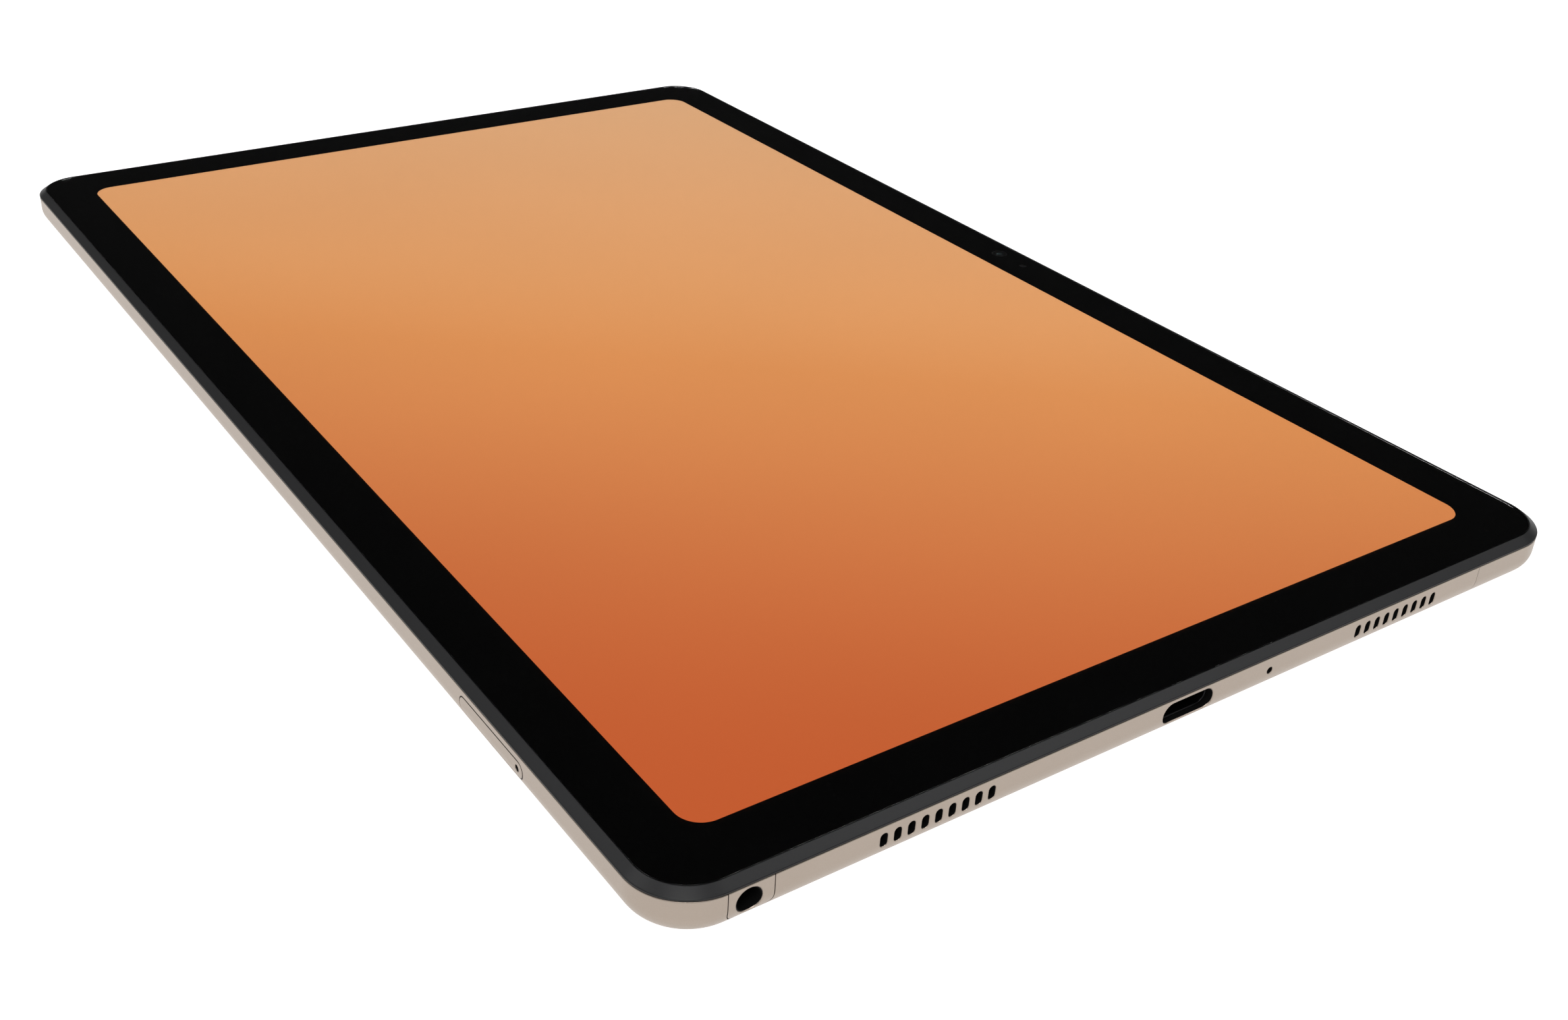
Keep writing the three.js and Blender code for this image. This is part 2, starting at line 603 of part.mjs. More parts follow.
// ---------------------------------------------------------------- battery
const cellBottom = FLOOR + SEAT_GAP;
const cellTop = midBottom - CELL.above;
const cellLength = (batteryRight - batteryLeft - CELL.gap) / 2;
const cellWidth = batteryBack - batteryFront;
["battery_cell_left", "battery_cell_right"].forEach((name, i) => {
  const x = batteryLeft + cellLength / 2 + i * (cellLength + CELL.gap);
  const y = (batteryFront + batteryBack) / 2;
  const shape = roundedRect(cellLength, cellWidth, CELL.cornerR, x, y);
  add(name, prism(shape, cellBottom, cellTop, 3), FINISH.pouch);
});

const protectionLeft = boardLeft + PROTECTION.left;
const leadX = boardLeft + PROTECTION_LEAD.x;
const protectionY = batteryBack + PROTECTION.gap;
const protectionTop = boardTop + 0.4;
add(
  "battery_protection_board",
  join(
    block(
      protectionLeft,
      protectionLeft + PROTECTION.length,
      protectionY,
      protectionY + PROTECTION.width,
      protectionTop - PROTECTION.thickness,
      protectionTop,
    ),
    block(
      leadX - PROTECTION_LEAD.width / 2,
      leadX + PROTECTION_LEAD.width / 2,
      protectionY + PROTECTION.width - FUSE,
      boardFront + PROTECTION_LEAD.length,
      protectionTop - FLEX,
      protectionTop,
    ),
  ),
  FINISH.board,
);

// ---------------------------------------------------------------- main board
const displayPlug = {
  ...DISPLAY_PLUG,
  x: boardLeft + DISPLAY_PLUG.fromLeft,
  y: boardBack - DISPLAY_PLUG.fromBack,
};
const linkPlug = {
  ...LINK_PLUG,
  x: boardRight - LINK_PLUG.fromRight,
  y: boardFront + LINK_PLUG.fromFront,
};
const flexHeight = boardTop + CONNECTOR + SEAT_GAP;

function centred(place, z0, z1) {
  return block(
    place.x - place.length / 2,
    place.x + place.length / 2,
    place.y - place.width / 2,
    place.y + place.width / 2,
    z0,
    z1,
  );
}

add(
  "main_board",
  join(
    block(boardLeft, boardRight, boardFront, boardBack, MAIN_BOARD.height, boardTop),
    centred(displayPlug, boardTop - FUSE, boardTop + CONNECTOR),
    centred(linkPlug, boardTop - FUSE, boardTop + CONNECTOR),
  ),
  FINISH.board,
);

const boardMiddle = (boardFront + boardBack) / 2;
for (const [name, s] of Object.entries(SHIELDS)) {
  const width = MAIN_BOARD.width - 2 * SHIELD.margin;
  const place = { x: boardLeft + s.fromLeft, y: boardMiddle, length: s.length, width };
  const inner = { ...place, length: place.length - 2 * SHIELD.wall, width: place.width - 2 * SHIELD.wall };
  const can = centred(place, boardTop, boardTop + SHIELD.height);
  add(name, cut(can, centred(inner, boardTop - 1, boardTop + SHIELD.height - SHIELD.wall)), FINISH.tinned);
}
add(
  "processor_chip",
  centred(
    { ...CHIP, x: boardLeft + SHIELDS.processor_shield.fromLeft, y: boardMiddle },
    boardTop,
    boardTop + CHIP.height,
  ),
  FINISH.chip,
);

// The screen's ribbon leaves the panel's edge, passes outside the middle plate and folds onto its plug.
function displayFlex() {
  const edge = lcdWidth / 2;
  const outside = edge + MID_PLATE_OVERHANG + 0.2;
  const mid = (lcdBottom + inkBottom) / 2;
  const profile = new THREE.Shape([
    new THREE.Vector2(edge + SEAT_GAP, mid - FLEX / 2),
    new THREE.Vector2(outside, mid - FLEX / 2),
    new THREE.Vector2(outside, flexHeight + FLEX),
    new THREE.Vector2(displayPlug.y - displayPlug.width / 2, flexHeight + FLEX),
    new THREE.Vector2(displayPlug.y - displayPlug.width / 2, flexHeight),
    new THREE.Vector2(outside + FLEX, flexHeight),
    new THREE.Vector2(outside + FLEX, mid + FLEX / 2),
    new THREE.Vector2(edge + SEAT_GAP, mid + FLEX / 2),
  ]);
  const half = displayPlug.length / 2 - displayPlug.ribbonInset;
  return prismX(profile, displayPlug.x - half, displayPlug.x + half);
}
add("display_flex", displayFlex(), FINISH.flex);

// ---------------------------------------------------------------- charging port and its board
const usbBoardRight = innerX - USB_BOARD.fromWall;
const usbBoardLeft = usbBoardRight - USB_BOARD.length;
const usbPlug = { ...USB_PLUG, x: usbBoardLeft + USB_PLUG.fromLeft, y: 0 };
add(
  "usb_board",
  join(
    block(
      usbBoardLeft,
      usbBoardRight,
      USB_BOARD.offsetY - USB_BOARD.width / 2,
      USB_BOARD.offsetY + USB_BOARD.width / 2,
      USB_BOARD.bottom,
      usbBoardTop,
    ),
    centred(usbPlug, usbBoardTop - FUSE, flexHeight - SEAT_GAP),
  ),
  FINISH.board,
);

// The link ribbon runs from the main board round the battery's corner to the port's board.
function linkFlex() {
  const runLeft = batteryRight + LINK_RUN.fromBattery;
  const runRight = usbPlug.x + usbPlug.length / 2;
  const half = linkPlug.width / 2;
  const shape = new THREE.Shape([
    new THREE.Vector2(linkPlug.x - linkPlug.length / 2, linkPlug.y - half),
    new THREE.Vector2(runLeft, linkPlug.y - half),
    new THREE.Vector2(runLeft, -usbPlug.width / 2),
    new THREE.Vector2(runRight, -usbPlug.width / 2),
    new THREE.Vector2(runRight, usbPlug.width / 2),
    new THREE.Vector2(runLeft + LINK_RUN.width, usbPlug.width / 2),
    new THREE.Vector2(runLeft + LINK_RUN.width, linkPlug.y + half),
    new THREE.Vector2(linkPlug.x - linkPlug.length / 2, linkPlug.y + half),
  ]);
  return prism(shape, flexHeight, flexHeight + FLEX);
}
add("link_flex", linkFlex(), FINISH.flex);

const usbFront = HALF_X - USB_SHELL.recess;
const usbInner = {
  width: USB_SHELL.width - 2 * USB_SHELL.wall,
  height: USB_SHELL.height - 2 * USB_SHELL.wall,
};
add(
  "usb_c_shell",
  cut(
    prismX(pill(USB_SHELL.width, USB_SHELL.height, 0, PORT_Z), usbShellBack, usbFront, 5),
    prismX(pill(usbInner.width, usbInner.height, 0, PORT_Z), usbShellBack - 1, usbFront + 1, 5),
  ),
  FINISH.steel,
);
add(
  "usb_c_tongue",
  join(
    prismX(
      pill(usbInner.width - 2 * SEAT_GAP, usbInner.height - 2 * SEAT_GAP, 0, PORT_Z),
      usbShellBack,
      usbShellBack + USB_TONGUE.base,
      5,
    ),
    prismX(
      pill(USB_TONGUE.width, USB_TONGUE.thickness, 0, PORT_Z),
      usbShellBack + USB_TONGUE.base - FUSE,
      usbFront - USB_TONGUE.recess,
    ),
  ),
  FINISH.blackPlastic,
);

// ---------------------------------------------------------------- headphone jack and microphone
function headphoneJack() {
  const top = midTop - SEAT_GAP / 2;
  const body = block(
    jackBodyInner,
    jackBodyRight,
    jackY - jackWidth / 2,
    jackY + jackWidth / 2,
    JACK_BODY.bottom,
    top,
  );
  const nose = discX(jackY, PORT_Z, jackNoseR, jackBodyRight - FUSE, jackNoseRight, 16);
  const bore = discX(jackY, PORT_Z, JACK_BORE_R, jackBodyInner + JACK_BODY.blind, tools, 20);
  return cut(join(body, nose), bore, block(jackBodyInner, tools, -tools, 0, top, BODY_THICKNESS));
}
add("headphone_jack", headphoneJack(), FINISH.blackPlastic);

const micRight = innerX - MIC_CAN.gap;
add(
  "edge_microphone",
  cut(
    block(
      micRight - MIC_CAN.depth,
      micRight,
      MIC.y - MIC_CAN.width / 2,
      MIC.y + MIC_CAN.width / 2,
      GRILLE_Z + MIC_CAN.above - MIC_CAN.height,
      GRILLE_Z + MIC_CAN.above,
    ),
    discX(MIC.y, GRILLE_Z, MIC.holeR / 2, micRight - 1, tools, 8),
  ),
  FINISH.tinned,
);

// ---------------------------------------------------------------- speakers
function speaker(side, y) {
  const back = innerX - INNER_EDGE_R - FIT_GAP;
  const nose = back + SPEAKER_NOSE.depth;
  const made = cut(
    join(
      block(back - SPEAKER.depth, back, y - speakerLength / 2, y + speakerLength / 2, FLOOR, innerTop),
      block(
        back - FUSE,
        nose,
        y - noseLength / 2,
        y + noseLength / 2,
        SPEAKER_NOSE.bottom,
        innerTop,
      ),
    ),
    block(
      back - 1,
      nose + 1,
      y - noseLength / 2 + SPEAKER_NOSE.duct,
      y + noseLength / 2 - SPEAKER_NOSE.duct,
      SPEAKER_NOSE.bottom + SPEAKER_NOSE.duct / 3,
      innerTop - SPEAKER_NOSE.duct / 3,
    ),
  );
  return side > 0 ? made : made.mirror([1, 0, 0]);
}

function speakerMesh(side, y) {
  const left = innerX - INNER_EDGE_R - FIT_GAP + SPEAKER_NOSE.depth + SPEAKER_MESH.gap;
  const sheet = block(
    left,
    left + SPEAKER_MESH.thickness,
    y - meshLength / 2,
    y + meshLength / 2,
    GRILLE_Z - SPEAKER_MESH.height / 2 + 0.05,
    GRILLE_Z + SPEAKER_MESH.height / 2,
  );
  return side > 0 ? sheet : sheet.mirror([1, 0, 0]);
}

for (const [end, side] of [
  ["right", 1],
  ["left", -1],
])
  for (const [row, y] of [
    ["lower", -speakerY],
    ["upper", speakerY],
  ]) {
    add(`speaker_${end}_${row}`, speaker(side, y), FINISH.blackPlastic);
    add(`speaker_mesh_${end}_${row}`, speakerMesh(side, y), FINISH.gasket);
  }

// ---------------------------------------------------------------- aerials
function antenna(sy) {
  const ring = cut(
    prism(outline(WALL + ANTENNA.gap), ANTENNA.bottom, ANTENNA.bottom + ANTENNA.height),
    prism(outline(WALL + ANTENNA.gap + ANTENNA.width), 0, BODY_THICKNESS),
  );
  const nearJack = jackY - jackWidth / 2 - ANTENNA.fromJack;
  const nearSeam = HALF_Y - CORNER_COVER.lengthAlongY + ANTENNA.fromSeam;
  const y = sy > 0 ? [nearSeam, HALF_Y] : [-HALF_Y, nearJack];
  return ring.intersect(block(HALF_X - ANTENNA.reach, HALF_X, y[0], y[1], 0, BODY_THICKNESS));
}
add("wifi_antenna_upper", antenna(1), FINISH.flex);
add("wifi_antenna_lower", antenna(-1), FINISH.flex);

// ---------------------------------------------------------------- front camera and light sensor
add(
  "front_camera",
  join(
    centred({ ...FRONT_CAM, y: frontCamY }, frontCamBottom, ledgeTop - FRONT_CAM.lensTop),
    disc(FRONT_CAM.x, frontCamY, FRONT_CAM.lensR - FIT_GAP, ledgeTop - 0.2, inkBottom - SEAT_GAP),
  ),
  FINISH.lens,
);
add(
  "light_sensor",
  centred({ ...LIGHT_SENSOR, y: frontCamY }, ledgeTop - LIGHT_SENSOR.height, ledgeTop),
  FINISH.chip,
);

// ---------------------------------------------------------------- rear camera
const barrelBottom = REAR_RING.height + REAR_BARREL.rest;
const moduleBottom = FLOOR + REAR_CAM.bottomGap;
add(
  "rear_camera",
  cut(
    centred(
      { x: rearCamX, y: rearCamY, length: REAR_CAM.size, width: REAR_CAM.size },
      moduleBottom,
      innerTop,
    ),
    disc(rearCamX, rearCamY, REAR_CAM.boreR, 0, innerTop - REAR_CAM.roof, 24),
  ),
  FINISH.blackPlastic,
);
add(
  "rear_lens_barrel",
  cut(
    disc(rearCamX, rearCamY, REAR_BARREL.r, barrelBottom, barrelBottom + REAR_BARREL.length, 24),
    disc(rearCamX, rearCamY, REAR_BARREL.boreR, 0, barrelBottom + REAR_BARREL.boreDepth, 24),
  ),
  FINISH.lens,
);
add(
  "rear_camera_ring",
  cut(
    disc(rearCamX, rearCamY, REAR_RING.outerR, 0, REAR_RING.height, 32),
    disc(rearCamX, rearCamY, REAR_RING.innerR, -1, REAR_RING.height + 1, 32),
  ),
  FINISH.aluminium,
);
add(
  "rear_camera_glass",
  disc(rearCamX, rearCamY, REAR_GLASS.r, REAR_GLASS.recess, REAR_GLASS.recess + REAR_GLASS.thickness, 32),
  FINISH.glass,
);

// ---------------------------------------------------------------- buttons
const flangeOuter = innerY - KEY.flangeBack;
const flangeInner = flangeOuter - KEY.flange;
const bracketY = innerY - INNER_EDGE_R - FIT_GAP;
const flexY = bracketY + BUTTON_FLEX;
const domeTip = flexY + DOME.height;
const keyFace = HALF_Y + KEY.proud;

function key(place, nubs) {
  const cap = prismY(pill(place.length, KEY.height, place.x, KEY_Z), flangeOuter - FUSE, keyFace, 4);
  const half = place.length / 2 + KEY.flangeExtra;
  const flange = block(
    place.x - half,
    place.x + half,
    flangeInner,
    flangeOuter,
    KEY_Z - KEY.flangeHeight / 2,
    KEY_Z + KEY.flangeHeight / 2,
  );
  const pads = nubs.map((x) =>
    block(
      x - NUB.width / 2,
      x + NUB.width / 2,
      domeTip + DOME.gap,
      flangeInner + FUSE,
      KEY_Z - NUB.height / 2,
      KEY_Z + NUB.height / 2,
    ),
  );
  return join(cap, flange, ...pads);
}

const volumeNubs = [volume.x - VOLUME.nubOffset, volume.x + VOLUME.nubOffset];
const rockerRib = block(
  volume.x - RIB.width / 2,
  volume.x + RIB.width / 2,
  flexY + RIB.gap,
  flangeInner + FUSE,
  KEY_Z - NUB.height / 2,
  KEY_Z + NUB.height / 2,
);
add("power_button", key(power, [power.x]), FINISH.aluminium);
add("volume_rocker", join(key(volume, volumeNubs), rockerRib), FINISH.aluminium);

const stripLeft = power.x - power.length / 2 - BRACKET.end;
const stripRight = volume.x + volume.length / 2 + BRACKET.end;
const stripTop = KEY_Z + KEY.flangeHeight / 2;
add(
  "button_flex",
  block(stripLeft, stripRight, bracketY, flexY, KEY_Z - KEY.flangeHeight / 2, stripTop),
  FINISH.flex,
);
add(
  "button_bracket",
  join(
    block(stripLeft, stripRight, bracketY - BRACKET.thickness, bracketY, FLOOR, stripTop),
    block(
      stripLeft,
      stripRight,
      bracketY - BRACKET.foot,
      bracketY - FUSE,
      FLOOR,
      FLOOR + BRACKET.footHeight,
    ),
  ),
  FINISH.steel,
);
for (const [name, x] of [
  ["power_dome", power.x],
  ["volume_up_dome", volumeNubs[0]],
  ["volume_down_dome", volumeNubs[1]],
])
  add(name, discY(x, KEY_Z, DOME.r, flexY, domeTip, 12), FINISH.gold);

// ---------------------------------------------------------------- card tray, reader and eject lever
const trayFaceBack = -HALF_Y + TRAY.faceDepth;
const trayLeft = trayX - trayFaceLength / 2 + TRAY_BODY.left;
const trayRight = trayLeft + trayBodyWidth;
const trayBack = trayFaceBack + trayBodyLength;
const trayMiddle = (trayLeft + trayRight) / 2;
const trayBottom = TRAY.z - TRAY_BODY.thickness / 2;
const trayTop = TRAY.z + TRAY_BODY.thickness / 2;
const pinX = trayX + trayFaceLength / 2 - PIN_HOLE.inset;

function cardTray() {
  const face = outer.intersect(
    prismY(pill(trayFaceLength, TRAY.faceHeight, trayX, TRAY.z), -HALF_Y - 1, trayFaceBack, 5),
  );
  const arm = block(trayLeft, trayRight, trayFaceBack - FUSE, trayBack, trayBottom, trayTop);
  const pocketBack = trayBack - (trayBodyLength - CARD.length) / 2;
  const pocketMiddle = pocketBack - CARD.length / 2;
  return cut(
    join(face, arm),
    block(
      trayMiddle - CARD.width / 2,
      trayMiddle + CARD.width / 2,
      pocketBack - CARD.length,
      pocketBack,
      trayTop - CARD.depth,
      trayTop + 1,
    ),
    block(
      trayMiddle - CARD.window / 2,
      trayMiddle + CARD.window / 2,
      pocketMiddle - CARD.window / 2,
      pocketMiddle + CARD.window / 2,
      0,
      trayTop,
    ),
    discY(pinX, TRAY.z, PIN_HOLE.r, -HALF_Y - 1, trayFaceBack + 1, 10),
  );
}
add("card_tray", cardTray(), FINISH.aluminium);

const readerFront = -innerY + READER.front;
const leverY = trayBack + LEVER.back;
const readerBack = trayBack + READER.back;
const readerLeft = trayX - trayFaceLength / 2 - READER.left;
const readerRight = pinX + PLUNGER.width / 2 + READER.right;
const pivotX = pinX - PIVOT.fromPin;
const leverBottom = TRAY.z - LEVER.height / 2;
const leverTop = TRAY.z + LEVER.height / 2;

function cardReader() {
  const baseFront = -innerY + INNER_EDGE_R + READER.baseInset;
  const body = join(
    block(readerLeft, readerRight, readerFront, readerBack, READER.bottom, innerTop),
    block(readerLeft, readerRight, baseFront, readerBack, FLOOR, READER.bottom + FUSE),
  );
  const traySlot = block(
    trayLeft - SLIDE_GAP,
    trayRight + SLIDE_GAP,
    readerFront - 1,
    trayBack + 0.2,
    trayBottom - SLIDE_GAP,
    trayTop + SLIDE_GAP,
  );
  const channel = block(
    pinX - PLUNGER.width / 2 - PLUNGER.gap,
    pinX + PLUNGER.width / 2 + PLUNGER.gap,
    readerFront - 1,
    leverY,
    TRAY.z - PLUNGER.height / 2 - PLUNGER.gap,
    TRAY.z + PLUNGER.height / 2 + PLUNGER.gap,
  );
  const leverPocket = block(
    pivotX - LEVER.reachLeft - LEVER_POCKET.left,
    pinX + PLUNGER.width / 2 + LEVER_POCKET.right,
    trayBack,
    readerBack - LEVER_POCKET.wall,
    leverBottom - SLIDE_GAP,
    leverTop + SLIDE_GAP,
  );
  const pivot = disc(pivotX, leverY, PIVOT.r, leverBottom - PIVOT.ends, leverTop + PIVOT.ends, 12);
  return join(cut(body, traySlot, channel, leverPocket), pivot);
}
add("card_reader", cardReader(), FINISH.steel);

add(
  "eject_plunger",
  block(
    pinX - PLUNGER.width / 2,
    pinX + PLUNGER.width / 2,
    readerFront + PLUNGER.front,
    leverY - LEVER.width / 2 - LEVER.restGap,
    TRAY.z - PLUNGER.height / 2,
    TRAY.z + PLUNGER.height / 2,
  ),
  FINISH.steel,
);
add(
  "eject_lever",
  cut(
    join(
      block(
        pivotX - LEVER.reachLeft,
        pivotX + LEVER.reachRight,
        leverY - LEVER.width / 2,
        leverY + LEVER.width / 2,
        leverBottom,
        leverTop,
      ),
      disc(pivotX, leverY, PIVOT.r + PIVOT.hub, leverBottom, leverTop, 12),
    ),
    disc(pivotX, leverY, PIVOT.r + FIT_GAP, 0, BODY_THICKNESS, 12),
  ),
  FINISH.steel,
);

export default tablet;
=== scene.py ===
"""A ten-inch tablet computer lying on its back, screen lit, in a pale studio."""

import math

import bmesh
import bpy
from mathutils import Matrix, Vector


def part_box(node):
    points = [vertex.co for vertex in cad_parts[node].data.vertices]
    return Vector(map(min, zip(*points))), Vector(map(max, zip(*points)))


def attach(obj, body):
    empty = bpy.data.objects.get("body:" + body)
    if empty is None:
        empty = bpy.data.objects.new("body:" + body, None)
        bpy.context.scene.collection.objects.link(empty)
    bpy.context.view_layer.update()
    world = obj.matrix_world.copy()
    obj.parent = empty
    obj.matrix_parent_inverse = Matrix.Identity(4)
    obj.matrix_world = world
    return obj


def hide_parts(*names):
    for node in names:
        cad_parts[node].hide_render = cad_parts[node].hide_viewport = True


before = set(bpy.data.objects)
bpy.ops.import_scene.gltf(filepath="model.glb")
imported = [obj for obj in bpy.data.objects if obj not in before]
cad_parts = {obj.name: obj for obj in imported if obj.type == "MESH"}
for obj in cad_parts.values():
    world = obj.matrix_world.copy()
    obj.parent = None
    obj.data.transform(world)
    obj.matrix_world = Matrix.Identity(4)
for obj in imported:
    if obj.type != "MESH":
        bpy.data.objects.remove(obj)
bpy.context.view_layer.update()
mm = 0.001

# ---------------------------------------------------------------- studio
# A camera, a white floor that glows a little so that only a breath of shadow lies on it, and three
# soft boxes set high enough to stay out of the glass.


def linear(colour):
    """A sRGB hex colour as linear red, green, blue and alpha."""
    shares = [int(colour[place : place + 2], 16) / 255 for place in (1, 3, 5)]
    return (*[c / 12.92 if c <= 0.04045 else ((c + 0.055) / 1.055) ** 2.4 for c in shares], 1.0)


def add_node(tree, kind, settings=None, links=None):
    """Adds one node to a tree, with its settings and the sockets that feed it."""
    added = tree.nodes.new("ShaderNode" + kind)
    for key, value in (settings or {}).items():
        if isinstance(key, str) and hasattr(added, key):
            setattr(added, key, value)
        else:
            added.inputs[key].default_value = value
    for key, source in (links or {}).items():
        tree.links.new(source, added.inputs[key])
    return added


def new_finish(name):
    """An empty material and its node tree."""
    finish = bpy.data.materials.new(name)
    finish.use_nodes = True
    finish.node_tree.nodes.clear()
    return finish, finish.node_tree


def surface(tree, values, links=None):
    """Ends a material's tree in a surface with these values and sockets."""
    shader = add_node(tree, "BsdfPrincipled", values, links)
    add_node(tree, "OutputMaterial", links={"Surface": shader.outputs[0]})


scene = bpy.context.scene
scene.view_settings.view_transform = "Standard"

lens = bpy.data.cameras.new("camera")
lens.lens = 40.17
lens.sensor_width = 36
lens.clip_start = 0.01
lens.clip_end = 50
camera = bpy.data.objects.new("camera", lens)
scene.collection.objects.link(camera)
forward = Vector((-0.6965, 0.5090, -0.5058)).normalized()
right = Vector((0.5668, 0.8225, 0.0472))
right = (right - forward * right.dot(forward)).normalized()
turn = Matrix((right, right.cross(forward), -forward)).transposed()
camera.matrix_world = Matrix.Translation((0.2394, -0.1503, 0.1362)) @ turn.to_4x4()
scene.camera = camera

FLOOR_REACH = 12
floor_mesh = bpy.data.meshes.new("floor")
floor_mesh.from_pydata(
    [(x * FLOOR_REACH, y * FLOOR_REACH, -0.05 * mm) for x, y in ((-1, -1), (1, -1), (1, 1), (-1, 1))],
    [],
    [(0, 1, 2, 3)],
)
floor = bpy.data.objects.new("floor", floor_mesh)
scene.collection.objects.link(floor)
paper, tree = new_finish("white_studio_paper")
surface(
    tree,
    {
        "Base Color": linear("#A5A4A3"),
        "Roughness": 0.9,
        "Emission Color": linear("#FFFFFF"),
        "Emission Strength": 0.96,
    },
)
floor_mesh.materials.append(paper)

# The room is pale where it is looked at, and gives only a low pale band and dim air above it as light.
world = bpy.data.worlds.new("studio")
scene.world = world
world.use_nodes = True
tree = world.node_tree
tree.nodes.clear()
direction = add_node(tree, "TexCoord").outputs["Generated"]
height = add_node(tree, "SeparateXYZ", links={"Vector": direction}).outputs["Z"]
band = add_node(
    tree,
    "MapRange",
    {"interpolation_type": "SMOOTHSTEP", "From Min": 0.10, "From Max": 0.17, "To Min": 0.9, "To Max": 0.012},
    {"Value": height},
)
light = add_node(tree, "Background", {"Color": linear("#FFFFFF")}, {"Strength": band.outputs[0]})
wall = add_node(tree, "Background", {"Color": linear("#FFFFFF"), "Strength": 1.0})
ray = add_node(tree, "LightPath").outputs["Is Camera Ray"]
both = add_node(tree, "MixShader", links={0: ray, 1: light.outputs[0], 2: wall.outputs[0]})
add_node(tree, "OutputWorld", links={"Surface": both.outputs[0]})

for name, place, size, power in (
    ("key_box", (1.0, -0.75, 1.55), 1.1, 26),
    ("left_box", (-0.75, -1.0, 1.6), 1.0, 14),
    ("back_box", (0.8, 1.1, 1.7), 1.0, 14),
):
    box_light = bpy.data.lights.new(name, "AREA")
    box_light.size = size
    box_light.energy = power
    soft_box = bpy.data.objects.new(name, box_light)
    soft_box.location = place
    soft_box.rotation_euler = (-Vector(place)).to_track_quat("-Z", "Y").to_euler()
    scene.collection.objects.link(soft_box)

# ---------------------------------------------------------------- rear housing
# One tray milled from aluminium plate, bead-blasted and dyed a warm beige. Its walls are 2 mm, its back
# edge is rounded, and the ports, slots and key holes are cut through the walls with a fine broken edge.
half_x, half_y, housing_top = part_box("rear_housing")[1]
corner_radius = 8.4 * mm
edge_radius = 3.5 * mm
wall_thickness = 2.0 * mm
floor_thickness = 0.9 * mm
inner_edge_radius = 3.1 * mm
step_inset = 1.15 * mm
step_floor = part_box("front_rim")[0].z
CORNER_STEPS = 20


def lofted(name, rings, joined=False):
    """A closed mesh through rings of points. The end rings are capped, or joined to each other."""
    count = len(rings[0])
    points = [point for ring in rings for point in ring]
    faces = []
    for ring in range(len(rings) if joined else len(rings) - 1):
        here = ring * count
        there = (ring + 1) % len(rings) * count
        for i in range(count):
            j = (i + 1) % count
            faces.append((here + i, here + j, there + j, there + i))
    if not joined:
        faces.append(tuple(reversed(range(count))))
        faces.append(tuple(range(len(points) - count, len(points))))
    mesh = bpy.data.meshes.new(name)
    mesh.from_pydata(points, [], faces)
    built = bmesh.new()
    built.from_mesh(mesh)
    bmesh.ops.recalc_face_normals(built, faces=built.faces)
    built.to_mesh(mesh)
    built.free()
    piece = bpy.data.objects.new(name, mesh)
    bpy.context.scene.collection.objects.link(piece)
    return piece


def rounded_rectangle(reach_x, reach_y, radius, z):
    """Points round a rectangle about the middle, with round corners, at one height."""
    points = []
    for corner, (side_x, side_y) in enumerate(((1, 1), (-1, 1), (-1, -1), (1, -1))):
        x = side_x * (reach_x - radius)
        y = side_y * (reach_y - radius)
        for step in range(CORNER_STEPS + 1):
            angle = math.radians(90 * (corner + step / CORNER_STEPS))
            points.append((x + radius * math.cos(angle), y + radius * math.sin(angle), z))
    return points


def outline(inset, z, least_radius=0.6 * mm):
    """Points round the body's plan, drawn in by inset, at one height."""
    radius = max(corner_radius - inset, least_radius)
    return rounded_rectangle(half_x - inset, half_y - inset, radius, z)


def arc(centre_inset, centre_z, radius, start, end, steps):
    """(inset, height) points on part of a circle. 0 degrees faces out and 90 degrees up."""
    points = []
    for step in range(steps + 1):
        angle = math.radians(start + (end - start) * step / steps)
        points.append((centre_inset - radius * math.cos(angle), centre_z + radius * math.sin(angle)))
    return points


def skin_normal(point):
    """Outward direction of the housing's rounded skin at a point on it, and how far inside it is."""
    away = Vector(
        (
            point.x - max(min(point.x, half_x - corner_radius), corner_radius - half_x),
            point.y - max(min(point.y, half_y - corner_radius), corner_radius - half_y),
            0,
        )
    )
    reach = corner_radius - edge_radius
    away *= max(0, 1 - reach / max(away.length, 1e-9))
    away.z = min(point.z - edge_radius, 0)
    return away.normalized(), edge_radius - away.length


def cut(piece, cutters, operation="DIFFERENCE"):
    """Cuts the piece with each cutter, or keeps what they share, and removes the cutters."""
    for cutter in cutters:
        boolean = piece.modifiers.new("cut", "BOOLEAN")
        boolean.object = cutter
        boolean.operation = operation
        boolean.solver = "EXACT"
    bpy.context.view_layer.update()
    evaluated = piece.evaluated_get(bpy.context.evaluated_depsgraph_get())
    mesh = bpy.data.meshes.new_from_object(evaluated)
    piece.modifiers.clear()
    piece.data = mesh
    for cutter in cutters:
        bpy.data.objects.remove(cutter)
    return piece


def smooth(piece, angle=30, skin=False):
    """Shades the piece smooth up to an angle. Its outer skin gets the true normals of that skin."""
    mesh = piece.data
    mesh.shade_smooth()
    mesh.set_sharp_from_angle(angle=math.radians(angle))
    if not skin:
        weighted = piece.modifiers.new("flat_faces_first", "WEIGHTED_NORMAL")
        weighted.keep_sharp = True
        return
    normals = [Vector((0, 0, 0))] * len(mesh.loops)
    for face in mesh.polygons:
        for loop in face.loop_indices:
            outward, depth = skin_normal(mesh.vertices[mesh.loops[loop].vertex_index].co)
            if abs(depth) < 0.03 * mm and outward.dot(face.normal) > 0.97:
                normals[loop] = outward
    mesh.normals_split_custom_set(normals)


def skin_inset(z):
    """How far the rounded skin lies in from the body's side at a height."""
    rise = edge_radius - min(max(z, 0), edge_radius)
    return edge_radius - math.sqrt(edge_radius**2 - rise**2)


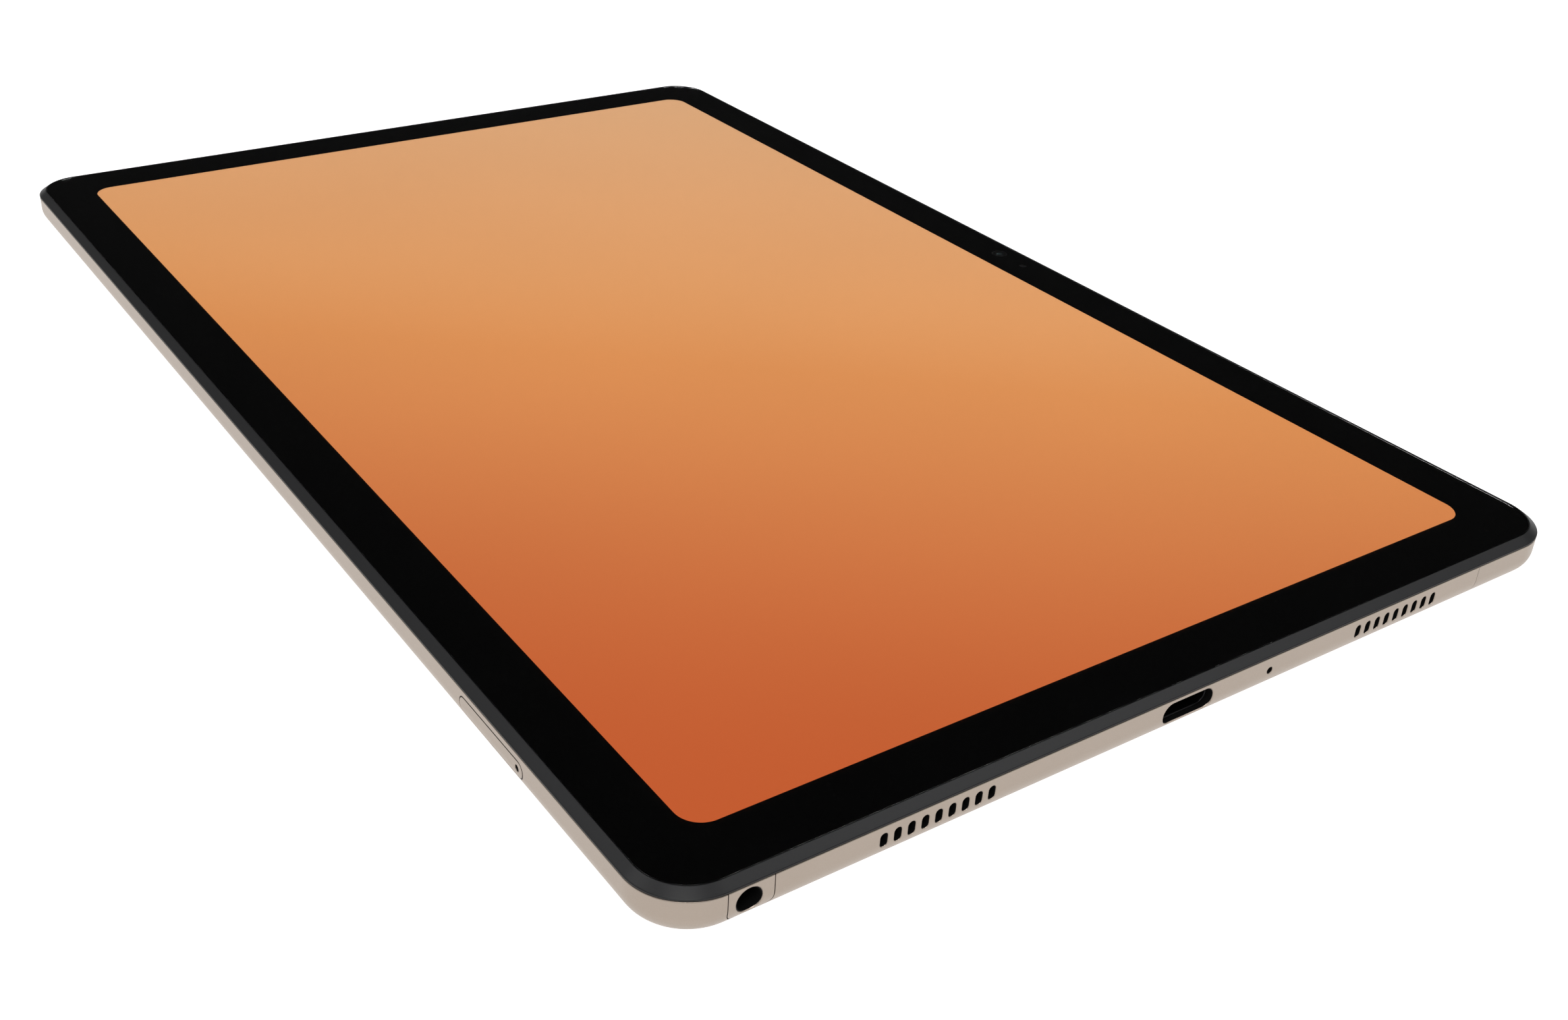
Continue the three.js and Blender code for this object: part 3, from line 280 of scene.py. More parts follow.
def pill(length, height, along, z, steps=10):
    """A function that gives a pill's outline, grown by an amount, as (along, height) points."""

    def grown(grow):
        radius = min(length, height) / 2 + grow
        reach_along = max(length - height, 0) / 2
        reach_up = max(height - length, 0) / 2
        turned = 0 if reach_up else -90
        points = []
        for half, sign in enumerate((1, -1)):
            for step in range(steps + 1):
                angle = math.radians(turned + 180 * (half + step / steps))
                points.append(
                    (
                        along + sign * reach_along + radius * math.cos(angle),
                        z + sign * reach_up + radius * math.sin(angle),
                    )
                )
        return points

    return grown


def to_wall(side, reach, along, z):
    """The point at a distance from the middle towards one side wall."""
    return {
        "+X": (reach, along, z),
        "-X": (-reach, along, z),
        "+Y": (along, reach, z),
        "-Y": (along, -reach, z),
    }[side]


def hole(side, shape, inner, lip):
    """A cutter for a hole through a side wall as far in as inner. Its mouth is flared by lip."""
    outer = half_x if side[1] == "X" else half_y
    rings = []
    for grow, depth in ((lip, -1.0 * mm), (lip, 0), (lip * 0.3, lip * 0.45), (0, lip)):
        rings.append([to_wall(side, outer - skin_inset(z) - depth, a, z) for a, z in shape(grow)])
    rings.append([to_wall(side, inner, a, z) for a, z in shape(0)])
    return lofted("hole", rings)


def pillar(name, x, y, profile, steps=64, joined=False):
    """A turned piece with an upright axis, through (radius, height) points."""
    rings = []
    for radius, z in profile:
        angles = [2 * math.pi * step / steps for step in range(steps)]
        rings.append([(x + radius * math.cos(a), y + radius * math.sin(a), z) for a in angles])
    return lofted(name, rings, joined)


def slab(name, low, high):
    """A plain block, for cutting only."""
    corners = ((low[0], low[1]), (high[0], low[1]), (high[0], high[1]), (low[0], high[1]))
    return lofted(name, [[(x, y, z) for x, y in corners] for z in (low[2], high[2])])


def merge(mesh, pieces):
    """Adds the faces of the pieces to a mesh and removes the pieces."""
    merged = bmesh.new()
    merged.from_mesh(mesh)
    for piece in pieces:
        merged.from_mesh(piece.data)
        bpy.data.objects.remove(piece)
    merged.to_mesh(mesh)
    merged.free()


def middle(node):
    """The middle of a CAD node's box."""
    low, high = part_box(node)
    return (low + high) / 2


def noise(tree, size, detail=2.0):
    """Even noise with patches of about a size, as a share."""
    place = add_node(tree, "TexCoord").outputs["Object"]
    grain = add_node(tree, "TexNoise", {"Scale": 1 / size, "Detail": detail}, {"Vector": place})
    return grain.outputs["Fac"]


def blended(tree, share, first, second):
    """A colour that lies a share of the way between two sRGB hex colours."""
    ends = {"Color1": linear(first), "Color2": linear(second)}
    return add_node(tree, "MixRGB", ends, {"Fac": share}).outputs[0]


def spread(tree, value, low, high, start=0.0, end=1.0):
    """A value that runs from start to end, as one that runs from low to high."""
    ends = {"From Min": start, "From Max": end, "To Min": low, "To Max": high}
    return add_node(tree, "MapRange", ends, {"Value": value}).outputs[0]


def bumps(tree, height, strength, distance):
    """A normal for relief as deep as the distance."""
    depth = {"Strength": strength, "Distance": distance}
    return add_node(tree, "Bump", depth, {"Height": height}).outputs[0]


def housing_tray(name):
    """The housing before its openings are cut."""
    top_break = 0.12 * mm
    profile = arc(edge_radius, edge_radius, edge_radius, -90, 0, 18)
    profile += arc(top_break, housing_top - top_break, top_break, 0, 90, 3)
    profile += [(step_inset, housing_top), (step_inset, step_floor), (wall_thickness, step_floor)]
    inner_bend = wall_thickness + inner_edge_radius, floor_thickness + inner_edge_radius
    profile += arc(*inner_bend, inner_edge_radius, 0, -90, 8)
    return lofted(name, [outline(inset, z) for inset, z in profile])


housing = housing_tray("rear_housing_shell")
port_lip = 0.16 * mm
slot_lip = 0.10 * mm
key_lip = 0.08 * mm
slot_count, slot_pitch, slot_width, slot_height = 9, 2.015 * mm, 1.1 * mm, 2.05 * mm
slot_z = 3.7 * mm
inner_x = half_x - wall_thickness
inner_y = half_y - wall_thickness
slots = []
for side, end in (("+X", "right"), ("-X", "left")):
    for row in ("lower", "upper"):
        first = middle(f"speaker_mesh_{end}_{row}").y - (slot_count - 1) / 2 * slot_pitch
        for slot in range(slot_count):
            slots.append((side, pill(slot_width, slot_height, first + slot * slot_pitch, slot_z, 8)))
openings = [hole(side, shape, inner_x - 0.5 * mm, slot_lip) for side, shape in slots]

port = middle("usb_c_shell")
port_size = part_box("usb_c_shell")[1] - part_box("usb_c_shell")[0]
port_gap = 0.05 * mm
port_shape = pill(port_size.y + 2 * port_gap, port_size.z + 2 * port_gap, port.y, port.z, 16)
openings.append(hole("+X", port_shape, inner_x - inner_edge_radius, port_lip))

microphone = middle("edge_microphone")
mic_hole = 1.06 * mm
openings.append(hole("+X", pill(mic_hole, mic_hole, microphone.y, slot_z), inner_x - 1 * mm, 0.06 * mm))

tray_low, tray_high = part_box("card_tray")
tray_z = (tray_low.z + tray_high.z) / 2
tray_length = tray_high.x - tray_low.x
tray_height = tray_high.z - tray_low.z
tray_x = (tray_low.x + tray_high.x) / 2
tray_gap = 0.18 * mm
tray_hole = pill(tray_length + 2 * tray_gap, tray_height + 2 * tray_gap, tray_x, tray_z)
openings.append(hole("-Y", tray_hole, inner_y - inner_edge_radius, 0.04 * mm))

key_gap = 0.15 * mm
key_height = 2.0 * mm
key_lengths = {"power_button": 11 * mm, "volume_rocker": 23 * mm}
for key, length in key_lengths.items():
    spot = middle(key)
    shape = pill(length + 2 * key_gap, key_height + 2 * key_gap, spot.x, spot.z)
    openings.append(hole("+Y", shape, inner_y - 1 * mm, key_lip))

ring_spot = middle("rear_camera_ring")
ring_radius = (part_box("rear_camera_ring")[1].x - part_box("rear_camera_ring")[0].x) / 2
ring_seat = 0.05 * mm
openings.append(
    pillar(
        "camera_hole",
        ring_spot.x,
        ring_spot.y,
        [
            (ring_radius + ring_seat, -1 * mm),
            (ring_radius + ring_seat, 0.6 * mm),
            (3.45 * mm, 0.6 * mm),
            (3.45 * mm, 2 * mm),
        ],
        64,
    )
)

insert_low, insert_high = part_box("jack_antenna_insert")
insert_corner = 1.5 * mm


def jack_window(grow, outer_reach):
    """A prism for the piece round the headphone jack: square above, rounded below."""
    low_y, high_y = insert_low.y - grow, insert_high.y + grow
    low_z = insert_low.z - grow
    radius = insert_corner + grow
    points = [(high_y, housing_top + 1 * mm), (low_y, housing_top + 1 * mm)]
    for y, start in ((low_y + radius, 180), (high_y - radius, 270)):
        for step in range(9):
            angle = math.radians(start + 90 * step / 8)
            points.append((y + radius * math.cos(angle), low_z + radius + radius * math.sin(angle)))
    reaches = (insert_low.x - grow, outer_reach)
    return lofted("jack_window", [[(x, y, z) for y, z in points] for x in reaches])


insert_gap = 0.12 * mm
openings.append(jack_window(insert_gap, half_x + 1 * mm))

cover_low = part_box("corner_antenna_cover")[0]
cover_back_inset = 4.0 * mm


def corner_window(grow):
    """The corner's edge strip that the aerial cover takes, grown by a gap."""
    region = slab(
        "corner_window",
        (cover_low.x - grow, cover_low.y - grow, -1 * mm),
        (half_x + 1 * mm, half_y + 1 * mm, housing_top + 1 * mm),
    )
    heart = lofted(
        "heart", [outline(cover_back_inset + grow, z) for z in (-2 * mm, housing_top + 2 * mm)]
    )
    return cut(region, [heart])


cover_gap = 0.06 * mm
openings.append(corner_window(cover_gap))
cut(housing, openings)

# The screw bosses and the board's standoffs rise from the floor inside.
boss_radius = 2.2 * mm
pilot_radius = 0.7 * mm
screws = [f"plate_screw_{number}" for number in range(1, 7)]
plate_foot = 0.4 * mm
boss_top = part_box("mid_plate")[0].z - plate_foot
board_low, board_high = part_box("main_board")
standoff_inset = 4 * mm
standoffs = [
    (board_low.x + standoff_inset, board_low.y + standoff_inset),
    ((board_low.x + board_high.x) / 2, board_low.y + standoff_inset),
    (board_high.x - standoff_inset, board_low.y + standoff_inset),
    (board_low.x + standoff_inset, board_high.y - standoff_inset),
    (board_high.x - standoff_inset, board_high.y - standoff_inset),
]
root = floor_thickness - 0.05 * mm
posts = []
for screw in screws:
    spot = middle(screw)
    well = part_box(screw)[0].z
    rim_break = 0.15 * mm
    profile = [
        (boss_radius + 0.5 * mm, root),
        (boss_radius + 0.1 * mm, root + 0.4 * mm),
        (boss_radius, root + 0.8 * mm),
        (boss_radius, boss_top - rim_break),
        (boss_radius - rim_break, boss_top),
        (pilot_radius, boss_top),
        (pilot_radius, well - 0.05 * mm),
    ]
    posts.append(pillar("boss", spot.x, spot.y, profile, 32))
for x, y in standoffs:
    profile = [(2.1 * mm, root), (1.8 * mm, root + 0.4 * mm), (1.8 * mm, board_low.z)]
    posts.append(pillar("standoff", x, y, profile, 24))
merge(housing.data, posts)
smooth(housing, skin=True)

# Anodised aluminium, bead-blasted: satin metal with a soft sparkle. The blasting leaves dimples of
# about 0.06 mm, drawn here at 0.16 mm so that they show, and the dye varies a little over 30 mm.
anodised, tree = new_finish("bead_blasted_anodised_aluminium")
dimples = noise(tree, 0.16 * mm)
clouds = noise(tree, 30 * mm, 3.0)
dye = blended(tree, clouds, "#9D9186", "#A3978C")
sheen = spread(tree, dimples, 0.38, 0.46, 0.3, 0.7)
relief = bumps(tree, dimples, 0.35, 0.006 * mm)
surface(tree, {"Metallic": 1.0}, {"Base Color": dye, "Roughness": sheen, "Normal": relief})
housing.data.materials.append(anodised)
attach(housing, "tablet")
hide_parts("rear_housing")

# ---------------------------------------------------------------- aerial windows in the housing
# Radio waves don't pass through metal, so one corner strip and the piece round the headphone jack are
# moulded plastic, bonded in and sprayed to match. Only their seams give them away.
jack = middle("headphone_jack")
jack_bore = 1.75 * mm
insert = housing_tray("jack_insert")
cut(insert, [jack_window(0, half_x + 1 * mm)], "INTERSECT")
jack_z = 3.58 * mm
jack_mouth = pill(2 * jack_bore, 2 * jack_bore, jack.y, jack_z, 16)
cut(insert, [hole("+X", jack_mouth, insert_low.x - 1 * mm, port_lip)])
smooth(insert, skin=True)

cover = housing_tray("corner_cover")
cut(cover, [corner_window(0)], "INTERSECT")
smooth(cover, skin=True)

# Sprayed plastic: the metal's colour with fine flake of about 0.05 mm, drawn at 0.15 mm.
sprayed, tree = new_finish("metallic_paint_on_plastic")
flake = noise(tree, 0.15 * mm)
spray = blended(tree, flake, "#9B8F84", "#A3978C")
relief = bumps(tree, flake, 0.25, 0.005 * mm)
surface(tree, {"Metallic": 0.9, "Roughness": 0.42}, {"Base Color": spray, "Normal": relief})
for piece, node in ((insert, "jack_antenna_insert"), (cover, "corner_antenna_cover")):
    piece.data.materials.append(sprayed)
    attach(piece, "tablet")
    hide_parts(node)

# ---------------------------------------------------------------- gasket
# A thin black rubber bead between the housing and the rim, which shows as a dark line.
gasket_low, gasket_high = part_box("rim_gasket")
bead_inset = half_x - gasket_high.x
bead_rise = gasket_high.z - gasket_low.z
profile = [
    (step_inset, gasket_low.z),
    (bead_inset + bead_rise / 4, gasket_low.z),
    (bead_inset, gasket_low.z + bead_rise / 3),
    (bead_inset, gasket_high.z - bead_rise / 3),
    (bead_inset + bead_rise / 4, gasket_high.z),
    (step_inset, gasket_high.z),
]
gasket = lofted("seal_bead", [outline(inset, z) for inset, z in profile], joined=True)
smooth(gasket)

# Silicone rubber: matt black, with a faint bloom of 2 mm patches.
rubber, tree = new_finish("matt_silicone_rubber")
bloom = noise(tree, 2 * mm)
tone = blended(tree, bloom, "#0E0C0B", "#181412")
surface(tree, {"Roughness": 0.8, "Specular IOR Level": 0.3}, {"Base Color": tone})
gasket.data.materials.append(rubber)
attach(gasket, "tablet")
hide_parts("rim_gasket")

# ---------------------------------------------------------------- front rim
# A moulded frame of dark glass-filled nylon. Its broad chamfer shows round the glass, and its ledge
# carries the glass and the screen on tape.
rim_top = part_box("front_rim")[1].z
ledge_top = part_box("glass_adhesive")[0].z
ledge_bottom = ledge_top - 0.65 * mm
rim_foot = gasket_high.z
pocket_inset = 1.38 * mm
ledge_inset = 7.2 * mm
skirt_inset = step_inset + 0.1 * mm
profile = [
    (0.08 * mm, rim_foot),
    (0.02 * mm, rim_foot + 0.03 * mm),
    (0, rim_foot + 0.08 * mm),
    (0, rim_foot + 0.17 * mm),
    (0.03 * mm, rim_foot + 0.22 * mm),
    (0.10 * mm, rim_foot + 0.28 * mm),
    (1.20 * mm, rim_top - 0.055 * mm),
    (1.25 * mm, rim_top - 0.018 * mm),
    (1.31 * mm, rim_top),
    (1.35 * mm, rim_top),
    (pocket_inset, rim_top - 0.03 * mm),
    (pocket_inset, ledge_top),
    (ledge_inset, ledge_top),
    (ledge_inset, ledge_bottom),
    (wall_thickness, ledge_bottom),
    (wall_thickness, step_floor + 0.05 * mm),
    (wall_thickness - 0.05 * mm, step_floor),
    (skirt_inset + 0.05 * mm, step_floor),
    (skirt_inset, step_floor + 0.05 * mm),
    (skirt_inset, rim_foot),
]
rim = lofted("front_rim_moulding", [outline(inset, z) for inset, z in profile], joined=True)
notches = []
for seated in ("front_camera", "light_sensor"):
    low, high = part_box(seated)
    room = Vector((0.1 * mm, 0.1 * mm, 0))
    notches.append(slab("notch", low - room - Vector((0, 0, 1 * mm)), high + room + Vector((0, 0, 0.3 * mm))))
cut(rim, notches)
smooth(rim)

# Glass-filled nylon off a fine-textured mould: dark grey, satin, with a 0.12 mm grain whose highest points
# are painted lighter, a painted highlight on the grain.
nylon, tree = new_finish("dark_satin_moulded_nylon")
grain = noise(tree, 0.12 * mm)
tone = blended(tree, grain, "#19191A", "#1F1F20")
relief = bumps(tree, grain, 0.3, 0.004 * mm)
surface(
    tree,
    {"Roughness": 0.42, "IOR": 1.53, "Specular IOR Level": 0.18},
    {"Base Color": tone, "Normal": relief},
)
rim.data.materials.append(nylon)
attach(rim, "tablet")
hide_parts("front_rim")

# ---------------------------------------------------------------- cover glass
# Toughened glass, 0.55 mm, ground flat, with a fine polished round on its upper edge. It is stuck to the
# rim's ledge by a tape ring.
glass_low, glass_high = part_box("cover_glass")
glass_inset = half_x - glass_high.x
round_off = 0.05 * mm
profile = [(glass_inset + 0.03 * mm, glass_low.z), (glass_inset, glass_low.z + 0.03 * mm)]
profile += arc(glass_inset + round_off, glass_high.z - round_off, round_off, 0, 90, 6)
glass = lofted("cover_glass_pane", [outline(inset, z) for inset, z in profile])
smooth(glass, angle=50)

# Clear polished glass: seen through, with a mirror gloss that grows at low angles. Faint wiping marks of
# about 20 mm soften the gloss a trifle.
clear, tree = new_finish("clear_toughened_glass")
wiping = noise(tree, 20 * mm, 4.0)
film = spread(tree, wiping, 0.0, 0.03, 0.45, 0.75)
surface(
    tree,
    {"Base Color": linear("#FFFFFF"), "IOR": 1.5, "Transmission Weight": 1.0},
    {"Roughness": film},
)
glass.data.materials.append(clear)
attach(glass, "tablet")
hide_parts("cover_glass")

# ---------------------------------------------------------------- printed border
# Black ceramic ink, screen-printed on the glass's underside, with the screen's window and two round
# windows for the front camera and the light sensor left clear.
ink_top = glass_low.z - 0.002 * mm
ink_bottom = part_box("border_print")[0].z + 0.005 * mm
view_length, view_width, view_corner = 227.6 * mm, 137.9 * mm, 3.6 * mm
ink_inset = glass_inset + 0.06 * mm
rings = [outline(ink_inset, ink_bottom), outline(ink_inset, ink_top)]
view = (view_length / 2, view_width / 2, view_corner)
rings += [rounded_rectangle(*view, ink_top), rounded_rectangle(*view, ink_bottom)]
border = lofted("printed_border", rings, joined=True)
camera_window = middle("front_camera")
sensor_window = middle("light_sensor")
window_tools = []
for spot, radius in ((camera_window, 1.6 * mm), (sensor_window, 0.8 * mm)):
    profile = [(radius, ink_bottom - 1 * mm), (radius, ink_top + 0.2 * mm)]
    window_tools.append(pillar("ink_window", spot.x, spot.y, profile, 48))
cut(border, window_tools)
smooth(border)

# Ceramic ink: dead black and even, its print just showing as a 0.3 mm screen.
ink, tree = new_finish("black_ceramic_ink")
place = add_node(tree, "TexCoord").outputs["Object"]
screen_print = add_node(tree, "TexVoronoi", {"Scale": 1 / (0.3 * mm)}, {"Vector": place})
tone = blended(tree, screen_print.outputs["Distance"], "#020202", "#050505")
surface(tree, {"Roughness": 0.6, "Specular IOR Level": 0.0}, {"Base Color": tone})
border.data.materials.append(ink)
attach(border, "tablet")
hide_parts("border_print")

# ---------------------------------------------------------------- picture on the screen
# The lit face of the screen, a flat sheet under the glass. It shows a plain warm gradient from corner to
# corner, as a screen does with no picture set, and nothing is drawn on it.
picture_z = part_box("lcd_panel")[1].z + 0.004 * mm
half_length = view_length / 2 - 0.01 * mm
half_width = view_width / 2 - 0.01 * mm
picture_mesh = bpy.data.meshes.new("screen_picture")
picture_mesh.from_pydata(
    [
        (-half_length, -half_width, picture_z),
        (half_length, -half_width, picture_z),
        (half_length, half_width, picture_z),
        (-half_length, half_width, picture_z),
    ],
    [],
    [(0, 1, 2, 3)],
)
picture = bpy.data.objects.new("screen_picture", picture_mesh)
scene.collection.objects.link(picture)

# A lit screen under glass: the colours glow by themselves, and the dark stack behind adds no gloss. The
# backlight is a little uneven, in patches about 60 mm across.
glow, tree = new_finish("lit_screen_picture")
place = add_node(tree, "TexCoord").outputs["Object"]
half_diagonal = math.hypot(half_length, half_width)
slanted = add_node(
    tree,
    "Mapping",
    {"Scale": (1 / half_diagonal,) * 3, "Rotation": (0, 0, math.radians(40))},
    {"Vector": place},
)
along = add_node(tree, "SeparateXYZ", links={"Vector": slanted.outputs[0]}).outputs["X"]
to_middle = spread(tree, along, 0.0, 1.0, -1.0, 0.1)
to_deep = add_node(
    tree,
    "MapRange",
    {"interpolation_type": "SMOOTHSTEP", "From Min": -0.2, "From Max": 1.0, "To Min": 0.0, "To Max": 1.0},
    {"Value": along},
)
upper = blended(tree, to_middle, "#E6B284", "#DC9458")
blend = add_node(
    tree,
    "MixRGB",
    {"Color2": linear("#B4542C")},
    {"Fac": to_deep.outputs[0], "Color1": upper},
)
patches = noise(tree, 60 * mm, 1.0)
backlight = spread(tree, patches, 0.985, 1.01, 0.3, 0.7)
drawn = add_node(tree, "VectorMath", {"operation": "SCALE"}, {0: blend.outputs[0], "Scale": backlight})
surface(
    tree,
    {
        "Base Color": linear("#000000"),
        "Roughness": 0.5,
        "Specular IOR Level": 0.0,
        "Emission Strength": 1.33,
    },
    {"Emission Color": drawn.outputs[0]},
)
picture_mesh.materials.append(glow)
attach(picture, "tablet")

# ---------------------------------------------------------------- charging port
# A drawn steel shell, pressed into the wall behind the opening and finished near black: painted shade, so the
# port's inside reads dark. Its tongue is moulded round a steel plate and carries a row of gold contacts on
# each face.
shell_low, shell_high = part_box("usb_c_shell")
shell_wall = 0.3 * mm
shell_shape = pill(port_size.y, port_size.z, port.y, port.z, 16)
mouth = 0.18 * mm
rings = []
for reach, grow in (
    (shell_low.x, 0),
    (shell_high.x - 0.05 * mm, 0),
    (shell_high.x, -0.05 * mm),
    (shell_high.x, -shell_wall + mouth * 0.55),
    (shell_high.x - mouth * 0.45, -shell_wall + mouth * 0.15),
    (shell_high.x - mouth, -shell_wall),
    (shell_low.x, -shell_wall),
):
    rings.append([(reach, y, z) for y, z in shell_shape(grow)])
port_shell = lofted("charging_port_shell", rings, joined=True)
smooth(port_shell, angle=50)

tongue_low, tongue_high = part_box("usb_c_tongue")
tongue_size = tongue_high - tongue_low
tongue_tip = 0.7 * mm
tongue_base = 1.8 * mm
blade_width = 6.69 * mm
blade_z = port.z
rings = []
for reach, width, thickness in (
    (tongue_low.x, tongue_size.y, tongue_size.z),
    (tongue_low.x + tongue_base - 0.1 * mm, tongue_size.y, tongue_size.z),
    (tongue_low.x + tongue_base, tongue_size.y - 0.2 * mm, tongue_size.z - 0.2 * mm),
    (tongue_low.x + tongue_base, blade_width, tongue_tip),
    (tongue_high.x - 0.25 * mm, blade_width, tongue_tip),
    (tongue_high.x - 0.08 * mm, blade_width - 0.2 * mm, tongue_tip - 0.14 * mm),
    (tongue_high.x, blade_width - 0.6 * mm, tongue_tip - 0.4 * mm),
):
    rings.append([(reach, y, z) for y, z in pill(width, thickness, port.y, blade_z, 10)(0)])
tongue = lofted("charging_port_tongue", rings)
smooth(tongue, angle=40)

contact_count, contact_pitch = 12, 0.5 * mm
contact_width, contact_length, contact_rise = 0.3 * mm, 3.4 * mm, 0.02 * mm
pads = []
for face in (1, -1):
    for number in range(contact_count):
        y = port.y + (number - (contact_count - 1) / 2) * contact_pitch
        z = blade_z + face * tongue_tip / 2
        pad = [
            (tongue_high.x - 0.75 * mm - contact_length, y - contact_width / 2),
            (tongue_high.x - 0.85 * mm, y - contact_width / 2),
            (tongue_high.x - 0.75 * mm, y),
            (tongue_high.x - 0.85 * mm, y + contact_width / 2),
            (tongue_high.x - 0.75 * mm - contact_length, y + contact_width / 2),
        ]
        heights = (z - contact_rise, z + contact_rise)
        pads.append(lofted("pad", [[(x, y, height) for x, y in pad] for height in heights]))
contact_mesh = bpy.data.meshes.new("charging_port_contacts")
merge(contact_mesh, pads)
contact_rows = bpy.data.objects.new("charging_port_contacts", contact_mesh)
scene.collection.objects.link(contact_rows)


def streaks(tree, length, width, detail):
    """Noise drawn out along X into streaks, as a share."""
    place = add_node(tree, "TexCoord").outputs["Object"]
    scale = {"Scale": (1 / length, 1 / width, 1 / width)}
    stretched = add_node(tree, "Mapping", scale, {"Vector": place}).outputs[0]
    lines = add_node(tree, "TexNoise", {"Scale": 1.0, "Detail": detail}, {"Vector": stretched})
    return lines.outputs["Fac"]


# Drawn steel, nearly black, satin, with draw lines about 0.1 mm apart along the port. On the port's shell
# this black is painted shade inside the port.
black_steel_and_port_shade, tree = new_finish("black_steel_and_port_shade_finish")
lines = streaks(tree, 4 * mm, 0.1 * mm, 2.0)
polish = spread(tree, lines, 0.32, 0.5)
tone = blended(tree, lines, "#1C1C1D", "#2A2A2B")
surface(tree, {"Metallic": 1.0}, {"Base Color": tone, "Roughness": polish})
port_shell.data.materials.append(black_steel_and_port_shade)
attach(port_shell, "tablet")
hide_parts("usb_c_shell")

# Black moulded plastic: near black, low sheen, with a fine spark-eroded grain of 0.1 mm.
moulded, tree = new_finish("black_moulded_plastic")
grain = noise(tree, 0.1 * mm)
tone = blended(tree, grain, "#040404", "#0A0A0A")
relief = bumps(tree, grain, 0.3, 0.01 * mm)
surface(tree, {"Roughness": 0.62, "Specular IOR Level": 0.12}, {"Base Color": tone, "Normal": relief})
tongue.data.materials.append(moulded)
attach(tongue, "tablet")
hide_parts("usb_c_tongue")

# Gold flash over nickel: warm yellow metal, a little worn in 0.2 mm streaks where plugs rub.
gold, tree = new_finish("gold_flashed_contact")
rub = noise(tree, 0.2 * mm)
tone = blended(tree, rub, "#C79A4B", "#D8B068")
surface(tree, {"Metallic": 1.0, "Roughness": 0.3}, {"Base Color": tone})
contact_rows.data.materials.append(gold)
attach(contact_rows, "tablet")


def carry(finish, *nodes):
    """Gives CAD nodes that keep their own shape a finish."""
    for node in nodes:
        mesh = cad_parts[node].data
        mesh.materials.clear()
        mesh.materials.append(finish)


carry(gold, "power_dome", "volume_up_dome", "volume_down_dome")

# ---------------------------------------------------------------- headphone jack, speakers and microphone
# Black moulded bodies. The jack's nose fills the plastic insert's bore. Each speaker is a sealed box that
# blows through its slots, with a black woven cloth over the inside of them.
carry(moulded, "headphone_jack", "rear_camera")


def sleeve(side, shape, start, inner, thickness):
    """A thin lining in a side wall's opening, from just under the skin to a distance from the middle."""
    outer = half_x if side[1] == "X" else half_y
    fit = -0.004 * mm
    rings = []
    for grow, reaches_in in ((fit, False), (fit - thickness, False), (fit - thickness, True), (fit, True)):
        ring = []
        for along, z in shape(grow):
            reach = inner if reaches_in else outer - skin_inset(z) - start
            ring.append(to_wall(side, reach, along, z))
        rings.append(ring)
    return lofted("sleeve", rings, joined=True)


# The sound holes, the port and the jack's bore are lined with thin black plastic: painted shade, a black
# sheet standing in for the darkness inside the openings.
shade_linings = [sleeve("+X", jack_mouth, port_lip + 0.02 * mm, insert_low.x + 0.02 * mm, 0.1 * mm)]
shade_linings.append(sleeve("+X", port_shape, port_lip + 0.02 * mm, shell_high.x - 0.02 * mm, 0.05 * mm))
mic_mouth = pill(mic_hole, mic_hole, microphone.y, slot_z)
shade_linings.append(sleeve("+X", mic_mouth, 0.08 * mm, inner_x, 0.05 * mm))
shade_linings += [sleeve(side, shape, slot_lip + 0.01 * mm, inner_x, 0.05 * mm) for side, shape in slots]
shade_lining_mesh = bpy.data.meshes.new("sound_holes_painted_shade")
merge(shade_lining_mesh, shade_linings)
hole_shade_linings = bpy.data.objects.new("sound_holes_painted_shade", shade_lining_mesh)
scene.collection.objects.link(hole_shade_linings)
shade_lining_mesh.materials.append(moulded)
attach(hole_shade_linings, "tablet")
ends = [f"{end}_{row}" for end in ("right", "left") for row in ("lower", "upper")]
carry(moulded, *["speaker_" + end for end in ends])

# Acoustic cloth: a plain weave of black thread, 0.16 mm from thread to thread, matt, with dark pores.
cloth, tree = new_finish("black_acoustic_weave")
place = add_node(tree, "TexCoord").outputs["Object"]
split = add_node(tree, "SeparateXYZ", links={"Vector": place})
threads = []
for axis in ("Y", "Z"):
    wave = add_node(
        tree,
        "Math",
        {"operation": "MULTIPLY", 1: 2 * math.pi / (0.16 * mm)},
        {0: split.outputs[axis]},
    )
    threads.append(add_node(tree, "Math", {"operation": "SINE"}, {0: wave.outputs[0]}))
weave = add_node(
    tree, "Math", {"operation": "MULTIPLY"}, {0: threads[0].outputs[0], 1: threads[1].outputs[0]}
)
tone = blended(tree, weave.outputs[0], "#020202", "#0C0C0C")
relief = bumps(tree, weave.outputs[0], 0.6, 0.03 * mm)
surface(tree, {"Roughness": 0.85, "Specular IOR Level": 0.2}, {"Base Color": tone, "Normal": relief})
carry(cloth, *["speaker_mesh_" + end for end in ends])

# Plain stamped steel: grey, satin, with roller lines 0.3 mm apart and a few darker clouds.
steel, tree = new_finish("stamped_stainless_steel")
lines = streaks(tree, 6 * mm, 0.3 * mm, 3.0)
polish = spread(tree, lines, 0.3, 0.46)
tone = blended(tree, lines, "#A4A5A7", "#B6B7B8")
surface(tree, {"Metallic": 1.0}, {"Base Color": tone, "Roughness": polish})
carry(steel, *screws, "processor_shield", "power_shield", "wireless_shield", "button_bracket")
carry(black_steel_and_port_shade, "edge_microphone", "card_reader", "eject_plunger", "eject_lever")

